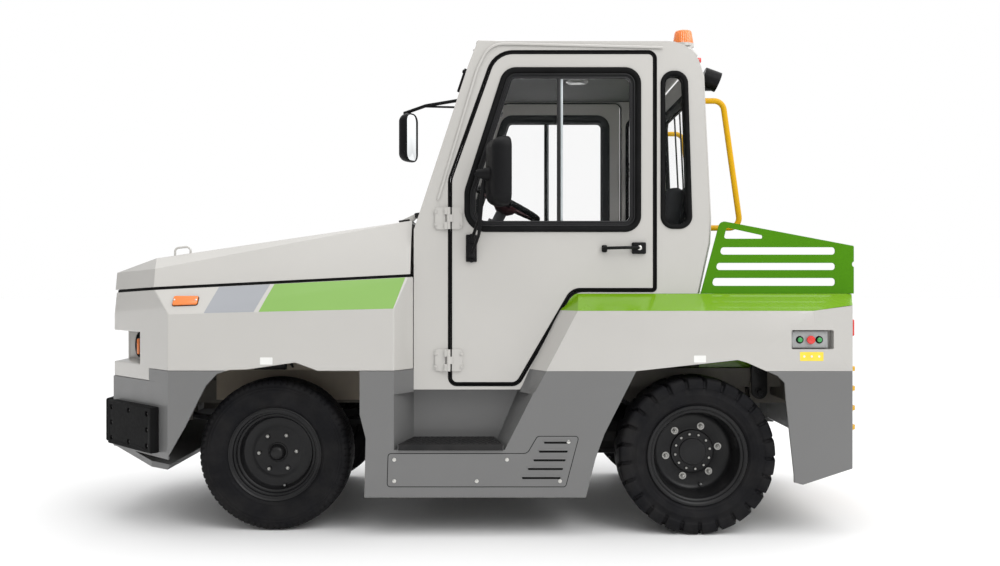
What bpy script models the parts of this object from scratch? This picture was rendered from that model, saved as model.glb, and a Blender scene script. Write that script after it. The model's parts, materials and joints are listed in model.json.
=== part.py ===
"""Electric airport baggage tug: a two-axle tow tractor with a steel cab, a tilting hood and a step-jaw hitch.

Metres, +Z up. The nose faces -Y and the vehicle's left side is +X. The origin is on the ground, under the
middle of the vehicle. Run with: blender --background --python part.py
"""

import math

import bmesh
import bpy
from mathutils import Matrix, Vector

# ---------------------------------------------------------------- driving dimensions

# Overall
HALF_WIDTH = 0.750  # side skins of the body
ARCH_INNER_X = 0.500  # how far in the wheel arches are cut
CAB_HALF_WIDTH = 0.640  # outer face of the cab sides
NOSE_Y = -1.775  # flat face of the nose
TAIL_Y = 1.590  # rear face of the tail plate
ROOF_Z = 2.163  # top of the cab roof
REACH_Y = 1.820  # tips of the front pad and of the hitch
MIRROR_REACH = 0.865  # tips of the two mirrors

# Wheels and steering
FRONT_AXLE_Y = -0.967
FRONT_TYRE_R = 0.3365
FRONT_TYRE_W = 0.190
FRONT_TRACK_X = 0.550
FRONT_RIM_R = 0.1915
REAR_AXLE_Y = 0.888
REAR_TYRE_R = 0.3435
REAR_TYRE_W = 0.220
REAR_TRACK_X = 0.610
REAR_RIM_R = 0.2035
KINGPIN_X = 0.440
STEER_ARM = 0.165  # from the kingpin back to the tie rod's pin
TIE_ROD_R = 0.011

# Body levels
SPLIT_Z = 0.716  # paint and panel line between grey and white
NOSE_SPLIT_Z = 0.662  # the same line across the nose
SHOULDER_FRONT_Z = 0.951  # lower edge of the leaning band, at the nose
SHOULDER_REAR_Z = 0.985  # the same edge, at the cab
SEAM_FRONT_Z = 1.050  # upper edge of the band under the hood, at the nose
SEAM_REAR_Z = 1.122  # the same edge, at the cab
REAR_SHOULDER_Z = 0.975  # lower edge of the rear ledge
TAIL_RISE = 0.023  # how much higher that edge is at the tail
DECK_Z = 1.048  # top of the rear deck
SILL_Z = 0.625  # underside of the cab
STEP_Z = 0.400  # top of the step
SKIRT_Z = 0.172  # underside of the side skirts
APRON_Z = 0.335  # lower edge of the nose apron
SKIN = 0.012  # body panels

# Plan of the nose
NOSE_FLAT = 0.375  # half width of the flat face
BAND_LEAN = 0.080  # how far the band leans inward
FENDER_END_Y = -0.427  # rear end of the front side skin
SEAT_GAP = 0.0003  # between pieces that rest on each other

# Cab
CAB_FRONT_Y = -0.351
SCREEN_FOOT = (-0.3505, 1.330)  # where the windscreen slope starts (Y, Z)
SCREEN_TOP = (-0.108, 2.063)
CAB_WALL = 0.050
DOOR_FRONT_Y = -0.190
DOOR_REAR_Y = 0.713
DOOR_BOTTOM_Z = 0.649
DOOR_TOP_Z = 2.113
DOOR_STEP_Z = 1.064  # the door's raised lower edge behind the slant
DOOR_GAP = 0.005  # each side of the seal's centre line
DOOR_THICK = 0.042
DOOR_PROUD = 0.005  # the door's skin outside the cab side
HINGE_OUT = 0.017  # hinge axis outside the cab side
HINGE_R = 0.009
GLASS = 0.006
FLOOR_Z = SILL_Z + 0.040  # top of the cab floor
PLATFORM_Z = 0.880  # the raised floor under the seats
QUARTER_GLASS_Y = (0.750, 0.868)

# Chassis
RAIL_X = (0.190, 0.250)
RAIL_Z = (0.520, SILL_Z - SEAT_GAP)
BATTERY_Z = (0.692, 1.000)
REAR_RAIL_X = (0.360, 0.420)
REAR_RAIL_Z = (0.615, 0.700)
BULKHEAD_Y = (-1.560, -1.545)

ROUND = 24  # sides of the wheels and tyres
SMALL_ROUND = 16

# Steering wheel
WHEEL_CENTRE = (0.280, 0.060, 1.475)
COLUMN_TILT = math.radians(27)
STEERING_R = 0.180

# Hood
HOOD_PIVOT = (-0.349, 1.398)  # Y, Z
HOOD_TOP = ((-1.548, 1.200), (-0.353, 1.3755))  # front and rear of the flat top (Y, Z)
HOOD_REAR_Y = -0.364
HOOD_EAR_X = (0.525, 0.555)
HOOD_SEAM_GAP = 0.013

# Rear
LEDGE_X = 0.640  # top edge of the ledge
GUARD_X = (0.626, 0.634)
RAIL_TUBE_R = 0.013

# ---------------------------------------------------------------- making solids


def clear_scene():
    for obj in list(bpy.data.objects):
        bpy.data.objects.remove(obj, do_unlink=True)


def paint(name, colour, roughness, metallic=0.0, alpha=1.0):
    made = bpy.data.materials.new(name)
    made.use_nodes = True
    shader = made.node_tree.nodes["Principled BSDF"]
    shader.inputs["Base Color"].default_value = (*colour, 1.0)
    shader.inputs["Roughness"].default_value = roughness
    shader.inputs["Metallic"].default_value = metallic
    shader.inputs["Alpha"].default_value = alpha
    return made


def mesh_of(name, solid):
    """A mesh from (points, faces), with every face turned outward."""
    points, faces = solid
    mesh = bpy.data.meshes.new(name)
    mesh.from_pydata([tuple(p) for p in points], [], faces)
    work = bmesh.new()
    work.from_mesh(mesh)
    bmesh.ops.recalc_face_normals(work, faces=work.faces)
    work.to_mesh(mesh)
    work.free()
    mesh.shade_smooth()
    mesh.set_sharp_from_angle(angle=math.radians(32))
    return mesh


def place(name, solid, parent):
    obj = bpy.data.objects.new(name, mesh_of(name, solid))
    bpy.context.scene.collection.objects.link(obj)
    if parent:
        obj.parent = parent
        obj.matrix_parent_inverse = Matrix.Translation(-parent.location)
    return obj


def make(name, finish, solids, cuts=(), fittings=()):
    """One named piece: its solids fused together, its cutters taken away, then its fittings fused on."""
    parent = frames.get(name)
    obj = place(name, solids[0], parent)
    obj.data.materials.append(finish)
    for operation, group in (("UNION", solids[1:]), ("DIFFERENCE", cuts), ("UNION", fittings)):
        for solid in group:
            helper = place(f"{name}.{operation.lower()}{len(obj.modifiers)}", solid, parent)
            helper.hide_render = True
            helper.display_type = "WIRE"
            step = obj.modifiers.new(helper.name, "BOOLEAN")
            step.operation = operation
            step.solver = "EXACT"
            step.object = helper
    return obj


def loft(rings):
    """A solid through rings of the same number of points, closed at both ends."""
    count = len(rings[0])
    points = [p for ring in rings for p in ring]
    faces = [tuple(range(count)), tuple(range(len(points) - count, len(points)))]
    for level in range(len(rings) - 1):
        base = level * count
        for i in range(count):
            j = (i + 1) % count
            faces.append((base + i, base + j, base + count + j, base + count + i))
    return points, faces


def prism(outline, axis, low, high):
    """An outline in the plane across the axis, pushed from low to high along it."""
    order = {"X": lambda a, b, c: (c, a, b), "Y": lambda a, b, c: (a, c, b), "Z": lambda a, b, c: (a, b, c)}
    return loft([[order[axis](a, b, c) for a, b in outline] for c in (low, high)])


def box(x, y, z):
    return prism([(x[0], y[0]), (x[1], y[0]), (x[1], y[1]), (x[0], y[1])], "Z", *z)


def mirrored(solid, side):
    """The same solid on the left (side 1) or the right (side -1)."""
    points, faces = solid
    return [(side * x, y, z) for x, y, z in points], faces


def turned(profile, centre, axis, steps):
    """A solid of revolution from (distance along the axis, radius) points. Radius 0 is on the axis."""
    along = Vector(axis).normalized()
    upright = abs(along.z) > 0.9
    across = along.orthogonal().normalized() if upright else Vector((0, 0, -1)).cross(along).cross(along)
    across = (across - along * across.dot(along)).normalized()
    other = along.cross(across)
    points, rows = [], []
    for distance, radius in profile:
        start = Vector(centre) + along * distance
        if radius == 0:
            rows.append([len(points)] * steps)
            points.append(start)
            continue
        rows.append(list(range(len(points), len(points) + steps)))
        for i in range(steps):
            angle = 2 * math.pi * i / steps
            points.append(start + (across * math.cos(angle) + other * math.sin(angle)) * radius)
    closed = profile[0][1] != 0
    faces = []
    for r in range(len(rows) if closed else len(rows) - 1):
        low, high = rows[r], rows[(r + 1) % len(rows)]
        for i in range(steps):
            j = (i + 1) % steps
            face = list(dict.fromkeys((low[i], low[j], high[j], high[i])))
            if len(face) > 2:
                faces.append(tuple(face))
    return points, faces


def rod(start, end, radius, steps=SMALL_ROUND):
    reach = Vector(end) - Vector(start)
    return turned([(0, 0), (0, radius), (reach.length, radius), (reach.length, 0)], start, reach, steps)


def rounded(corners, radii, steps=4):
    """An outline with its corners turned into arcs. One radius for all, or one each."""
    if not isinstance(radii, (list, tuple)):
        radii = [radii] * len(corners)
    made = []
    for i, corner in enumerate(corners):
        here = Vector(corner)
        back = (Vector(corners[i - 1]) - here).normalized()
        ahead = (Vector(corners[(i + 1) % len(corners)]) - here).normalized()
        if radii[i] == 0:
            made.append(tuple(here))
            continue
        half = back.angle(ahead) / 2
        reach = radii[i] / math.tan(half)
        centre = here + (back + ahead).normalized() * (radii[i] / math.sin(half))
        first = here + back * reach - centre
        last = here + ahead * reach - centre
        for k in range(steps + 1):
            between = first.lerp(last, k / steps).normalized() * radii[i]
            made.append(tuple(centre + between))
    return made


def pipe(route, radius, bend=0.0, steps=10, bend_steps=4):
    """A round tube's solid along a route, with its corners bent at one radius."""
    path = [Vector(route[0])]
    for before, corner, after in zip(route, route[1:], route[2:]):
        here = Vector(corner)
        back = (Vector(before) - here).normalized()
        ahead = (Vector(after) - here).normalized()
        half = back.angle(ahead) / 2
        reach = bend / math.tan(half)
        centre = here + (back + ahead).normalized() * (bend / math.sin(half))
        first = here + back * reach - centre
        last = here + ahead * reach - centre
        for k in range(bend_steps + 1):
            path.append(centre + first.lerp(last, k / bend_steps).normalized() * bend)
    path.append(Vector(route[-1]))
    rings, across = [], None
    for i, point in enumerate(path):
        ahead = (path[min(i + 1, len(path) - 1)] - path[max(i - 1, 0)]).normalized()
        across = ahead.orthogonal() if across is None else across - ahead * across.dot(ahead)
        across = across.normalized()
        other = ahead.cross(across)
        turns = [2 * math.pi * k / steps for k in range(steps)]
        rings.append([point + (across * math.cos(t) + other * math.sin(t)) * radius for t in turns])
    return loft(rings)


def offset_path(path, distance):
    """The plan of an open path moved to its left by a distance, with mitred corners."""
    normals = []
    for a, b in zip(path, path[1:]):
        run = Vector((b[0] - a[0], b[1] - a[1])).normalized()
        normals.append(Vector((-run.y, run.x)))
    moved = []
    for i, point in enumerate(path):
        before = normals[max(i - 1, 0)]
        after = normals[min(i, len(normals) - 1)]
        mitre = (before + after) / (1 + before.dot(after))
        moved.append((point[0] + mitre.x * distance, point[1] + mitre.y * distance, point[2]))
    return moved


def wall(levels, thickness):
    """A standing wall: the same open path at rising levels, thickened to its left in plan."""
    count = len(levels[0])
    points, rows = [], []
    for path in levels:
        for face in (path, offset_path(path, thickness)):
            rows.append(len(points))
            points.extend(face)
    faces = []
    for level in range(len(levels) - 1):
        outer, inner, outer_up, inner_up = rows[2 * level : 2 * level + 4]
        for i in range(count - 1):
            faces.append((outer + i, outer + i + 1, outer_up + i + 1, outer_up + i))
            faces.append((inner + i, inner_up + i, inner_up + i + 1, inner + i + 1))
        for i in (0, count - 1):
            faces.append((outer + i, inner + i, inner_up + i, outer_up + i))
    for outer, inner in ((rows[0], rows[1]), (rows[-2], rows[-1])):
        for i in range(count - 1):
            faces.append((outer + i, outer + i + 1, inner + i + 1, inner + i))
    return points, faces


def both_sides(half_path):
    """A path from the vehicle's middle out to the left, completed with its mirror image on the right."""
    right = [(-x, y, z) for x, y, z in reversed(half_path) if x > 0]
    return right + [p for p in half_path if p[0] > 0]


def slope(y, first, last):
    """Height on the straight line through two (Y, Z) points."""
    return first[1] + (last[1] - first[1]) * (y - first[0]) / (last[0] - first[0])


# ---------------------------------------------------------------- finishes

clear_scene()
WHITE = paint("white_paint", (0.58, 0.56, 0.52), 0.35)
GREY = paint("grey_paint", (0.17, 0.17, 0.165), 0.45)
BEIGE = paint("beige_liner", (0.42, 0.36, 0.28), 0.55)
FRAME = paint("frame_paint", (0.11, 0.10, 0.085), 0.55)
GREEN = paint("green_paint", (0.24, 0.52, 0.05), 0.25)
DARK_GREEN = paint("guard_green", (0.08, 0.28, 0.004), 0.35)
YELLOW = paint("yellow_paint", (0.80, 0.45, 0.01), 0.35)
BLACK_METAL = paint("black_metal", (0.012, 0.012, 0.013), 0.45)
RUBBER = paint("black_rubber", (0.012, 0.012, 0.012), 0.75)
TYRE = paint("tyre_rubber", (0.014, 0.014, 0.015), 0.85)
PLASTIC = paint("black_plastic", (0.015, 0.015, 0.016), 0.5)
TRIM = paint("cab_trim", (0.09, 0.09, 0.095), 0.6)
SEAT = paint("seat_cloth", (0.05, 0.05, 0.055), 0.85)
CLEAR = paint("window_glass", (0.55, 0.62, 0.62), 0.05, 0.0, 0.35)
AMBER = paint("amber_lens", (0.85, 0.18, 0.01), 0.2)

# ---------------------------------------------------------------- joint frames


def joint_frame(name, location):
    """An empty on a joint's axis, which carries the pieces that turn about it."""
    empty = bpy.data.objects.new(name, None)
    empty.location = location
    bpy.context.scene.collection.objects.link(empty)
    return empty


DOOR_HINGE_X = CAB_HALF_WIDTH + HINGE_OUT
HINGE_Y = DOOR_FRONT_Y - 0.006
frames = {"hood": joint_frame("hood_axis", (0, *HOOD_PIVOT)),
          "steering_wheel": joint_frame("steering_axis", WHEEL_CENTRE),
          "tie_rod": joint_frame("tie_rod_axis", (KINGPIN_X, FRONT_AXLE_Y + STEER_ARM, FRONT_TYRE_R))}
for word, side in (("left", 1), ("right", -1)):
    door_axis = joint_frame(f"{word}_door_axis", (side * DOOR_HINGE_X, HINGE_Y, SILL_Z))
    frames[f"{word}_door"] = door_axis
    frames[f"{word}_door_glass"] = door_axis
    frames[f"{word}_knuckle"] = joint_frame(f"{word}_kingpin", (side * KINGPIN_X, FRONT_AXLE_Y, FRONT_TYRE_R))
    for end, y, z, x in (("front", FRONT_AXLE_Y, FRONT_TYRE_R, FRONT_TRACK_X),
                         ("rear", REAR_AXLE_Y, REAR_TYRE_R, REAR_TRACK_X)):
        spin = joint_frame(f"{end}_{word}_spin", (side * x, y, z))
        frames[f"{end}_{word}_tyre"] = spin
        frames[f"{end}_{word}_wheel"] = spin
frames["left_mirror"] = frames["left_door"]

# ---------------------------------------------------------------- shared outlines

FRONT_CENTRE = (FRONT_AXLE_Y, FRONT_TYRE_R)
REAR_CENTRE = (REAR_AXLE_Y, REAR_TYRE_R)
# Wheel arches, in tyre radii from the wheel's centre
FRONT_ARCH = [(-1.275, -1.2), (-1.275, 0.046), (-1.064, 0.42), (-0.80, 0.94), (-0.66, 1.09), (-0.50, 1.14),
              (-0.273, 1.146), (0.34, 1.235), (0.60, 1.14), (0.98, 0.975), (1.10, 0.84), (1.245, 0.266),
              (1.227, -0.5), (1.227, -1.2)]
REAR_ARCH = [(-1.56, -1.2), (-1.421, -0.493), (-1.301, -0.01), (-1.189, 0.297), (-0.79, 1.085),
             (-0.099, 1.158), (0.480, 1.224), (0.60, 1.19), (0.981, 1.02), (1.065, 0.935), (1.081, 0.72),
             (1.1325, 0.24), (1.184, -0.22), (1.20, -1.2)]


def arch_cutter(arch, centre, radius, side):
    outline = [(centre[0] + y * radius, centre[1] + z * radius) for y, z in arch]
    return mirrored(prism(outline, "X", ARCH_INNER_X, HALF_WIDTH + 0.05), side)


def arch_cutters(arch, centre, radius):
    return [arch_cutter(arch, centre, radius, side) for side in (1, -1)]


def band_height(y, front_z, rear_z):
    """Height along the sloping edges of the front fenders."""
    return slope(y, (NOSE_Y, front_z), (CAB_FRONT_Y, rear_z))


# ---------------------------------------------------------------- nose, fenders and apron

CHAMFER = HALF_WIDTH - NOSE_FLAT  # the nose corners are cut at 45 degrees
NOTCH_Z = (0.731, 0.875)
NOTCH_IN = 0.205  # inner end of the lamp recess on the flat face
NOTCH_OUT = 0.182  # how far the recess runs round onto the cut corner
LAMP_DEPTH = 0.150


def nose_plan(level, lean, grow=0.0):
    """The body's outer path from the middle of the nose back to the cab, at a level function of Y."""
    side = HALF_WIDTH - lean
    front = NOSE_Y - grow + lean * 0.06
    flat = NOSE_FLAT - lean * 0.19
    corner = NOSE_Y + CHAMFER - lean * 1.06
    end = FENDER_END_Y + lean * 0.675
    spots = [(0.0, front), (flat, front), (side, corner), (side, end), (CAB_HALF_WIDTH, CAB_FRONT_Y - SEAT_GAP * 2)]
    return [(x, y, level(y)) for x, y in spots]


def nose_wall(bottom, top):
    """Path levels with their inward side on the left."""
    return wall([both_sides(path) for path in (bottom, top)], SKIN)


def split_corner():
    """Where the lower paint line steps up, near the end of the cut corner."""
    return NOSE_FLAT + 0.250


def build_nose():
    shoulder = nose_plan(lambda y: band_height(y, SHOULDER_FRONT_Z, SHOULDER_REAR_Z), 0)
    seam = nose_plan(lambda y: band_height(y, SEAM_FRONT_Z, SEAM_REAR_Z), BAND_LEAN)
    foot = nose_plan(lambda y: SPLIT_Z + SEAT_GAP, 0)
    shell = wall([both_sides(path) for path in (foot, shoulder, seam)], SKIN)
    step = split_corner()
    strip = [(0.0, NOSE_Y), (NOSE_FLAT, NOSE_Y), (step, NOSE_Y + step - NOSE_FLAT)]
    lip = wall([both_sides([(x, y, z) for x, y in strip]) for z in (NOSE_SPLIT_Z + SEAT_GAP, SPLIT_Z + 0.01)], SKIN)
    cuts = arch_cutters(FRONT_ARCH, FRONT_CENTRE, FRONT_TYRE_R)
    recess = [(NOTCH_IN, NOSE_Y - 0.02), (NOSE_FLAT + 0.02, NOSE_Y - 0.02),
              (NOSE_FLAT + NOTCH_OUT + 0.014, NOSE_Y + NOTCH_OUT - 0.006),
              (NOSE_FLAT + NOTCH_OUT - 0.03, NOSE_Y + NOTCH_OUT + 0.04), (NOTCH_IN, NOSE_Y + 0.04)]
    cuts += [mirrored(prism(recess, "Z", *NOTCH_Z), side) for side in (1, -1)]
    make("front_cowl", WHITE, [shell, lip], cuts)


SKID_LENGTH = 0.330  # the underside plate, from the nose back


def build_apron():
    grow = 0.004
    low = nose_plan(lambda y: APRON_Z, 0, grow)[:3] + [(HALF_WIDTH, FRONT_AXLE_Y, APRON_Z)]
    middle = nose_plan(lambda y: NOSE_SPLIT_Z, 0, grow)[:3] + [(HALF_WIDTH, FRONT_AXLE_Y, NOSE_SPLIT_Z)]
    shell = wall([both_sides(path) for path in (low, middle)], SKIN)
    step = split_corner()
    upper = [(step + 0.001, NOSE_Y + step - NOSE_FLAT + 0.001), (HALF_WIDTH, NOSE_Y + CHAMFER),
             (HALF_WIDTH, FRONT_AXLE_Y)]
    shoulders = [mirrored(wall([[(x, y, z) for x, y in upper] for z in (NOSE_SPLIT_Z - 0.01, SPLIT_Z)], SKIN), side)
                 for side in (1, -1)]
    skid_front = NOSE_Y + SKIN
    skid_rear = skid_front + SKID_LENGTH
    skid = [(skid_front - 0.006, APRON_Z + 0.002), (skid_rear, APRON_Z - 0.062),
            (skid_rear + 0.010, APRON_Z - 0.040), (skid_front - 0.006, APRON_Z + 0.028)]
    skid_half = NOSE_FLAT + 0.01
    plate = prism(skid, "X", -skid_half, skid_half)
    wings = [mirrored(skid_wing(skid_half, skid), side) for side in (1, -1)]
    cuts = arch_cutters(FRONT_ARCH, FRONT_CENTRE, FRONT_TYRE_R)
    make("front_apron", GREY, [shell, *shoulders, plate, *wings], cuts)


def skid_wing(start, skid):
    """The underside plate's outer part, cut back along the nose corner."""
    run = SKID_LENGTH - 0.065
    inner = [(start - 0.004, y, z) for y, z in skid]
    front_low, rear_low, rear_up, front_up = skid
    outer = []
    for y, z in (front_low, rear_low, rear_up, front_up):
        if y < NOSE_Y + 0.1:
            y += run
            z = slope(y, front_low, rear_low) + (z - front_low[1])
        outer.append((start + run, y, z))
    return loft([inner, outer])


PAD_Z = (0.355, 0.555)
PAD_THICK = REACH_Y + NOSE_Y - 0.004 - SEAT_GAP  # reaches the front limit


def build_pads():
    face = NOSE_Y - 0.004 - SEAT_GAP
    pad = rounded([(-NOSE_FLAT + 0.012, PAD_Z[0]), (NOSE_FLAT - 0.012, PAD_Z[0]), (NOSE_FLAT - 0.012, PAD_Z[1]),
                   (-NOSE_FLAT + 0.012, PAD_Z[1])], 0.008, 2)
    make("front_bumper_pad", RUBBER, [prism(pad, "Y", -REACH_Y, face)])
    start = Vector((NOSE_FLAT, NOSE_Y - 0.004))
    along = (Vector((HALF_WIDTH, NOSE_Y + CHAMFER)) - start).normalized()
    out = Vector((along.y, -along.x))
    for name, side in (("left_bumper_pad", 1), ("right_bumper_pad", -1)):
        near = start + along * 0.030 + out * SEAT_GAP
        far = start + along * 0.455 + out * SEAT_GAP
        plan = [near, far, far + out * PAD_THICK, near + out * PAD_THICK]
        make(name, RUBBER, [mirrored(prism([tuple(p) for p in plan], "Z", *PAD_Z), side)])


def build_headlights():
    """A pressed recess box in each nose corner, with the main lamp and the turn lamp in it."""
    front = NOSE_Y + SKIN + SEAT_GAP * 2
    back = NOSE_Y + LAMP_DEPTH + 0.04
    inner = NOTCH_IN - 0.001
    outer_front = NOSE_FLAT - SKIN * 0.45
    outer_back = min(outer_front + back - front, HALF_WIDTH - SKIN - 0.02)
    plan = [(inner, front), (outer_front, front), (outer_back, front + outer_back - outer_front),
            (outer_back, back), (inner, back)]
    sheet = 0.006
    for name, side in (("left_headlight", 1), ("right_headlight", -1)):
        floor = prism(plan, "Z", NOTCH_Z[0] - sheet, NOTCH_Z[0])
        ceiling = prism(plan, "Z", NOTCH_Z[1], NOTCH_Z[1] + sheet)
        rear_plan = [(inner, back - sheet), (outer_back - sheet, back - sheet), (outer_back, back), (inner, back)]
        rear = prism(rear_plan, "Z", NOTCH_Z[0] - sheet, NOTCH_Z[1] + sheet)
        cheek = box((inner, inner + sheet), (front, back), (NOTCH_Z[0] - sheet, NOTCH_Z[1] + sheet))
        middle = (NOTCH_Z[0] + NOTCH_Z[1]) / 2
        lamp = rod((inner + 0.085, back - 0.001, middle), (inner + 0.085, front + 0.045, middle), 0.062)
        turn = box((inner + 0.190, inner + 0.250), (back - 0.055, back - 0.001), (middle - 0.035, middle + 0.035))
        make(name, CLEAR, [mirrored(s, side) for s in (floor, rear, ceiling, cheek, lamp, turn)])


# ---------------------------------------------------------------- hood


def hood_rings(inset):
    """Rings of the hood's outer faces, from its lower edge to its flat top, pulled in by an inset."""
    rear = HOOD_REAR_Y + (0.05 if inset else 0.0)
    seam = lambda y: band_height(y, SEAM_FRONT_Z, SEAM_REAR_Z) + HOOD_SEAM_GAP - (0.03 if inset else 0.0)
    crease = lambda y: band_height(y, SEAM_FRONT_Z, SEAM_REAR_Z) + 0.093 - inset * 0.4
    top = lambda y: slope(y, *HOOD_TOP) - inset
    side = HALF_WIDTH - BAND_LEAN - 0.003 - inset
    flat = NOSE_FLAT - 0.030 - inset * 0.4
    front = NOSE_Y - 0.006 + inset
    corner = NOSE_Y + CHAMFER - 0.088 + inset * 0.4
    brow = NOSE_Y + 0.192 + inset * 0.6
    ridge = HALF_WIDTH - 0.175 - inset * 0.8
    spots = [
        (seam, [(flat, front), (side, corner), (side, rear)]),
        (crease, [(flat - 0.004, front + 0.006), (side - 0.022, corner - 0.002), (side - 0.022, rear)]),
        (top, [(flat - 0.085, brow), (ridge, brow + 0.075), (ridge, rear)]),
    ]
    return [both_sides([(x, y, level(y)) for x, y in half]) for level, half in spots]


def build_hood():
    ear_y, ear_z = HOOD_PIVOT
    grip = pipe([(0.560, -1.430, 1.205), (0.560, -1.430, 1.252), (0.560, -1.360, 1.259), (0.560, -1.360, 1.215)],
                0.005, 0.018, 8)
    fittings = [grip]
    for side in (1, -1):
        ear = [(HOOD_REAR_Y - 0.060, 1.358), (HOOD_REAR_Y - 0.002, 1.368), (ear_y + 0.004, ear_z - 0.008),
               (ear_y, ear_z + HINGE_R), (HOOD_REAR_Y - 0.060, 1.372)]
        fittings.append(mirrored(prism(ear, "X", *HOOD_EAR_X), side))
        fittings.append(mirrored(rod((HOOD_EAR_X[0], ear_y, ear_z), (HOOD_EAR_X[1], ear_y, ear_z), HINGE_R), side))
    make("hood", WHITE, [loft(hood_rings(0.0))], [loft(hood_rings(SKIN))], fittings)


# ---------------------------------------------------------------- cab

DOOR_CORNERS = [
    (DOOR_FRONT_Y, DOOR_BOTTOM_Z),
    (0.107, DOOR_BOTTOM_Z),
    (0.349, DOOR_STEP_Z),
    (DOOR_REAR_Y, DOOR_STEP_Z),
    (DOOR_REAR_Y, DOOR_TOP_Z),
    (0.010, DOOR_TOP_Z),
    (DOOR_FRONT_Y, 1.552),
]
DOOR_RADII = [0.030, 0.045, 0.070, 0.012, 0.030, 0.110, 0.100]


def grown(corners, distance):
    """A closed outline moved outward by a distance (its points run anticlockwise)."""
    moved = []
    for i, here in enumerate(corners):
        before = Vector(here) - Vector(corners[i - 1])
        after = Vector(corners[(i + 1) % len(corners)]) - Vector(here)
        one = Vector((before.y, -before.x)).normalized()
        two = Vector((after.y, -after.x)).normalized()
        mitre = (one + two) / (1 + one.dot(two))
        moved.append((here[0] + mitre.x * distance, here[1] + mitre.y * distance))
    return moved


def door_outline(grow):
    return rounded(grown(DOOR_CORNERS, grow), [r + grow for r in DOOR_RADII])


WINDOW_CORNERS = [(-0.115, 1.332), (0.640, 1.332), (0.640, 2.034), (0.057, 2.034), (-0.115, 1.500)]
WINDOW_RADII = [0.100, 0.060, 0.060, 0.060, 0.100]


def window_outline(shrink):
    return rounded(grown(WINDOW_CORNERS, -shrink), [r - shrink for r in WINDOW_RADII])


QUARTER_CORNERS = [(QUARTER_GLASS_Y[0], 1.345), (QUARTER_GLASS_Y[1], 1.345), (0.847, 2.020), (0.750, 2.020)]


def quarter_outline(shrink):
    return rounded(grown(QUARTER_CORNERS, -shrink), 0.045 - shrink)


CAB_REAR = [(0.9015, DECK_Z + SEAT_GAP), (0.950, 1.2715), (0.9545, 1.375), (0.9275, 1.911)]


def cab_side_outline():
    roof_front = (SCREEN_TOP[0] + 0.040, ROOF_Z)
    crown = rounded([(0.9230, 1.98), (0.9230, ROOF_Z), (0.60, ROOF_Z)], [0, 0.150, 0], 6)[1:-1]
    return [(CAB_FRONT_Y, SILL_Z), (0.118, SILL_Z), (0.367, DECK_Z + SEAT_GAP), *CAB_REAR, *crown, roof_front,
            SCREEN_TOP, SCREEN_FOOT]


HINGE_LEVELS = (0.755, 1.380)
HINGE_HALF = 0.048


def hinge_solids(fixed):
    """The pillar's or the door's half of both hinges: a leaf on the skin and its share of the barrel."""
    made = []
    axis_x = DOOR_HINGE_X
    direction = -1 if fixed else 1
    skin = CAB_HALF_WIDTH + (0 if fixed else DOOR_PROUD)
    for level in HINGE_LEVELS:
        third = HINGE_HALF * 2 / 3
        spans = [(level - HINGE_HALF, level - HINGE_HALF + third - SEAT_GAP),
                 (level + HINGE_HALF - third + SEAT_GAP, level + HINGE_HALF)]
        if not fixed:
            spans = [(level - HINGE_HALF + third, level + HINGE_HALF - third)]
        near = HINGE_Y + direction * 0.014
        leaf = rounded([(HINGE_Y + direction * 0.060, level - HINGE_HALF), (near, level - HINGE_HALF),
                        (near, level + HINGE_HALF), (HINGE_Y + direction * 0.060, level + HINGE_HALF)],
                       [0.014, 0, 0, 0.014])
        made.append(prism(leaf, "X", skin - 0.004, skin + 0.010))
        for low, high in spans:
            made.append(rod((axis_x, HINGE_Y, low), (axis_x, HINGE_Y, high), HINGE_R))
            made.append(box((axis_x - HINGE_R + 0.001, axis_x + HINGE_R * 0.6),
                            sorted((HINGE_Y + direction * 0.003, near + direction * 0.004)), (low, high)))
    return made


def build_cab_sides():
    for name, side in (("left_cab_side", 1), ("right_cab_side", -1)):
        plate = prism(cab_side_outline(), "X", CAB_HALF_WIDTH - CAB_WALL, CAB_HALF_WIDTH)
        reach = (CAB_HALF_WIDTH - CAB_WALL - 0.02, CAB_HALF_WIDTH + 0.02)
        cuts = [prism(door_outline(DOOR_GAP), "X", *reach), prism(quarter_outline(0), "X", *reach)]
        solids = [plate, *hinge_solids(True)]
        make(name, WHITE, [mirrored(s, side) for s in solids], [mirrored(s, side) for s in cuts])
        pane = prism(quarter_outline(SEAT_GAP), "X", CAB_HALF_WIDTH - 0.030, CAB_HALF_WIDTH - 0.030 + GLASS)
        make(f"{name.split('_')[0]}_quarter_glass", CLEAR, [mirrored(pane, side)])


INNER_HALF = CAB_HALF_WIDTH - CAB_WALL - SEAT_GAP  # between the cab sides
SCREEN_RUN = Vector(SCREEN_TOP) - Vector(SCREEN_FOOT)


def on_screen(share, depth):
    """A (Y, Z) point on the windscreen slope: share of the way up, and depth behind its outer face."""
    inward = Vector((SCREEN_RUN.y, -SCREEN_RUN.x)).normalized()
    point = Vector(SCREEN_FOOT) + SCREEN_RUN * share + inward * depth
    return tuple(point)


def tilted_window(half_width, low_share, high_share, depth, thickness, corner, taper=0.0):
    """A rounded pane or cutter that lies in the windscreen slope."""
    top_half = half_width - taper
    height = SCREEN_RUN.length * (high_share - low_share)
    flat = rounded([(-half_width, 0), (half_width, 0), (top_half, height), (-top_half, height)], corner)
    along = SCREEN_RUN.normalized()
    rings = []
    for d in (depth, depth + thickness):
        start = Vector(on_screen(low_share, d))
        rings.append([(x, start.x + along.x * s, start.y + along.y * s) for x, s in flat])
    return loft(rings)


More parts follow.
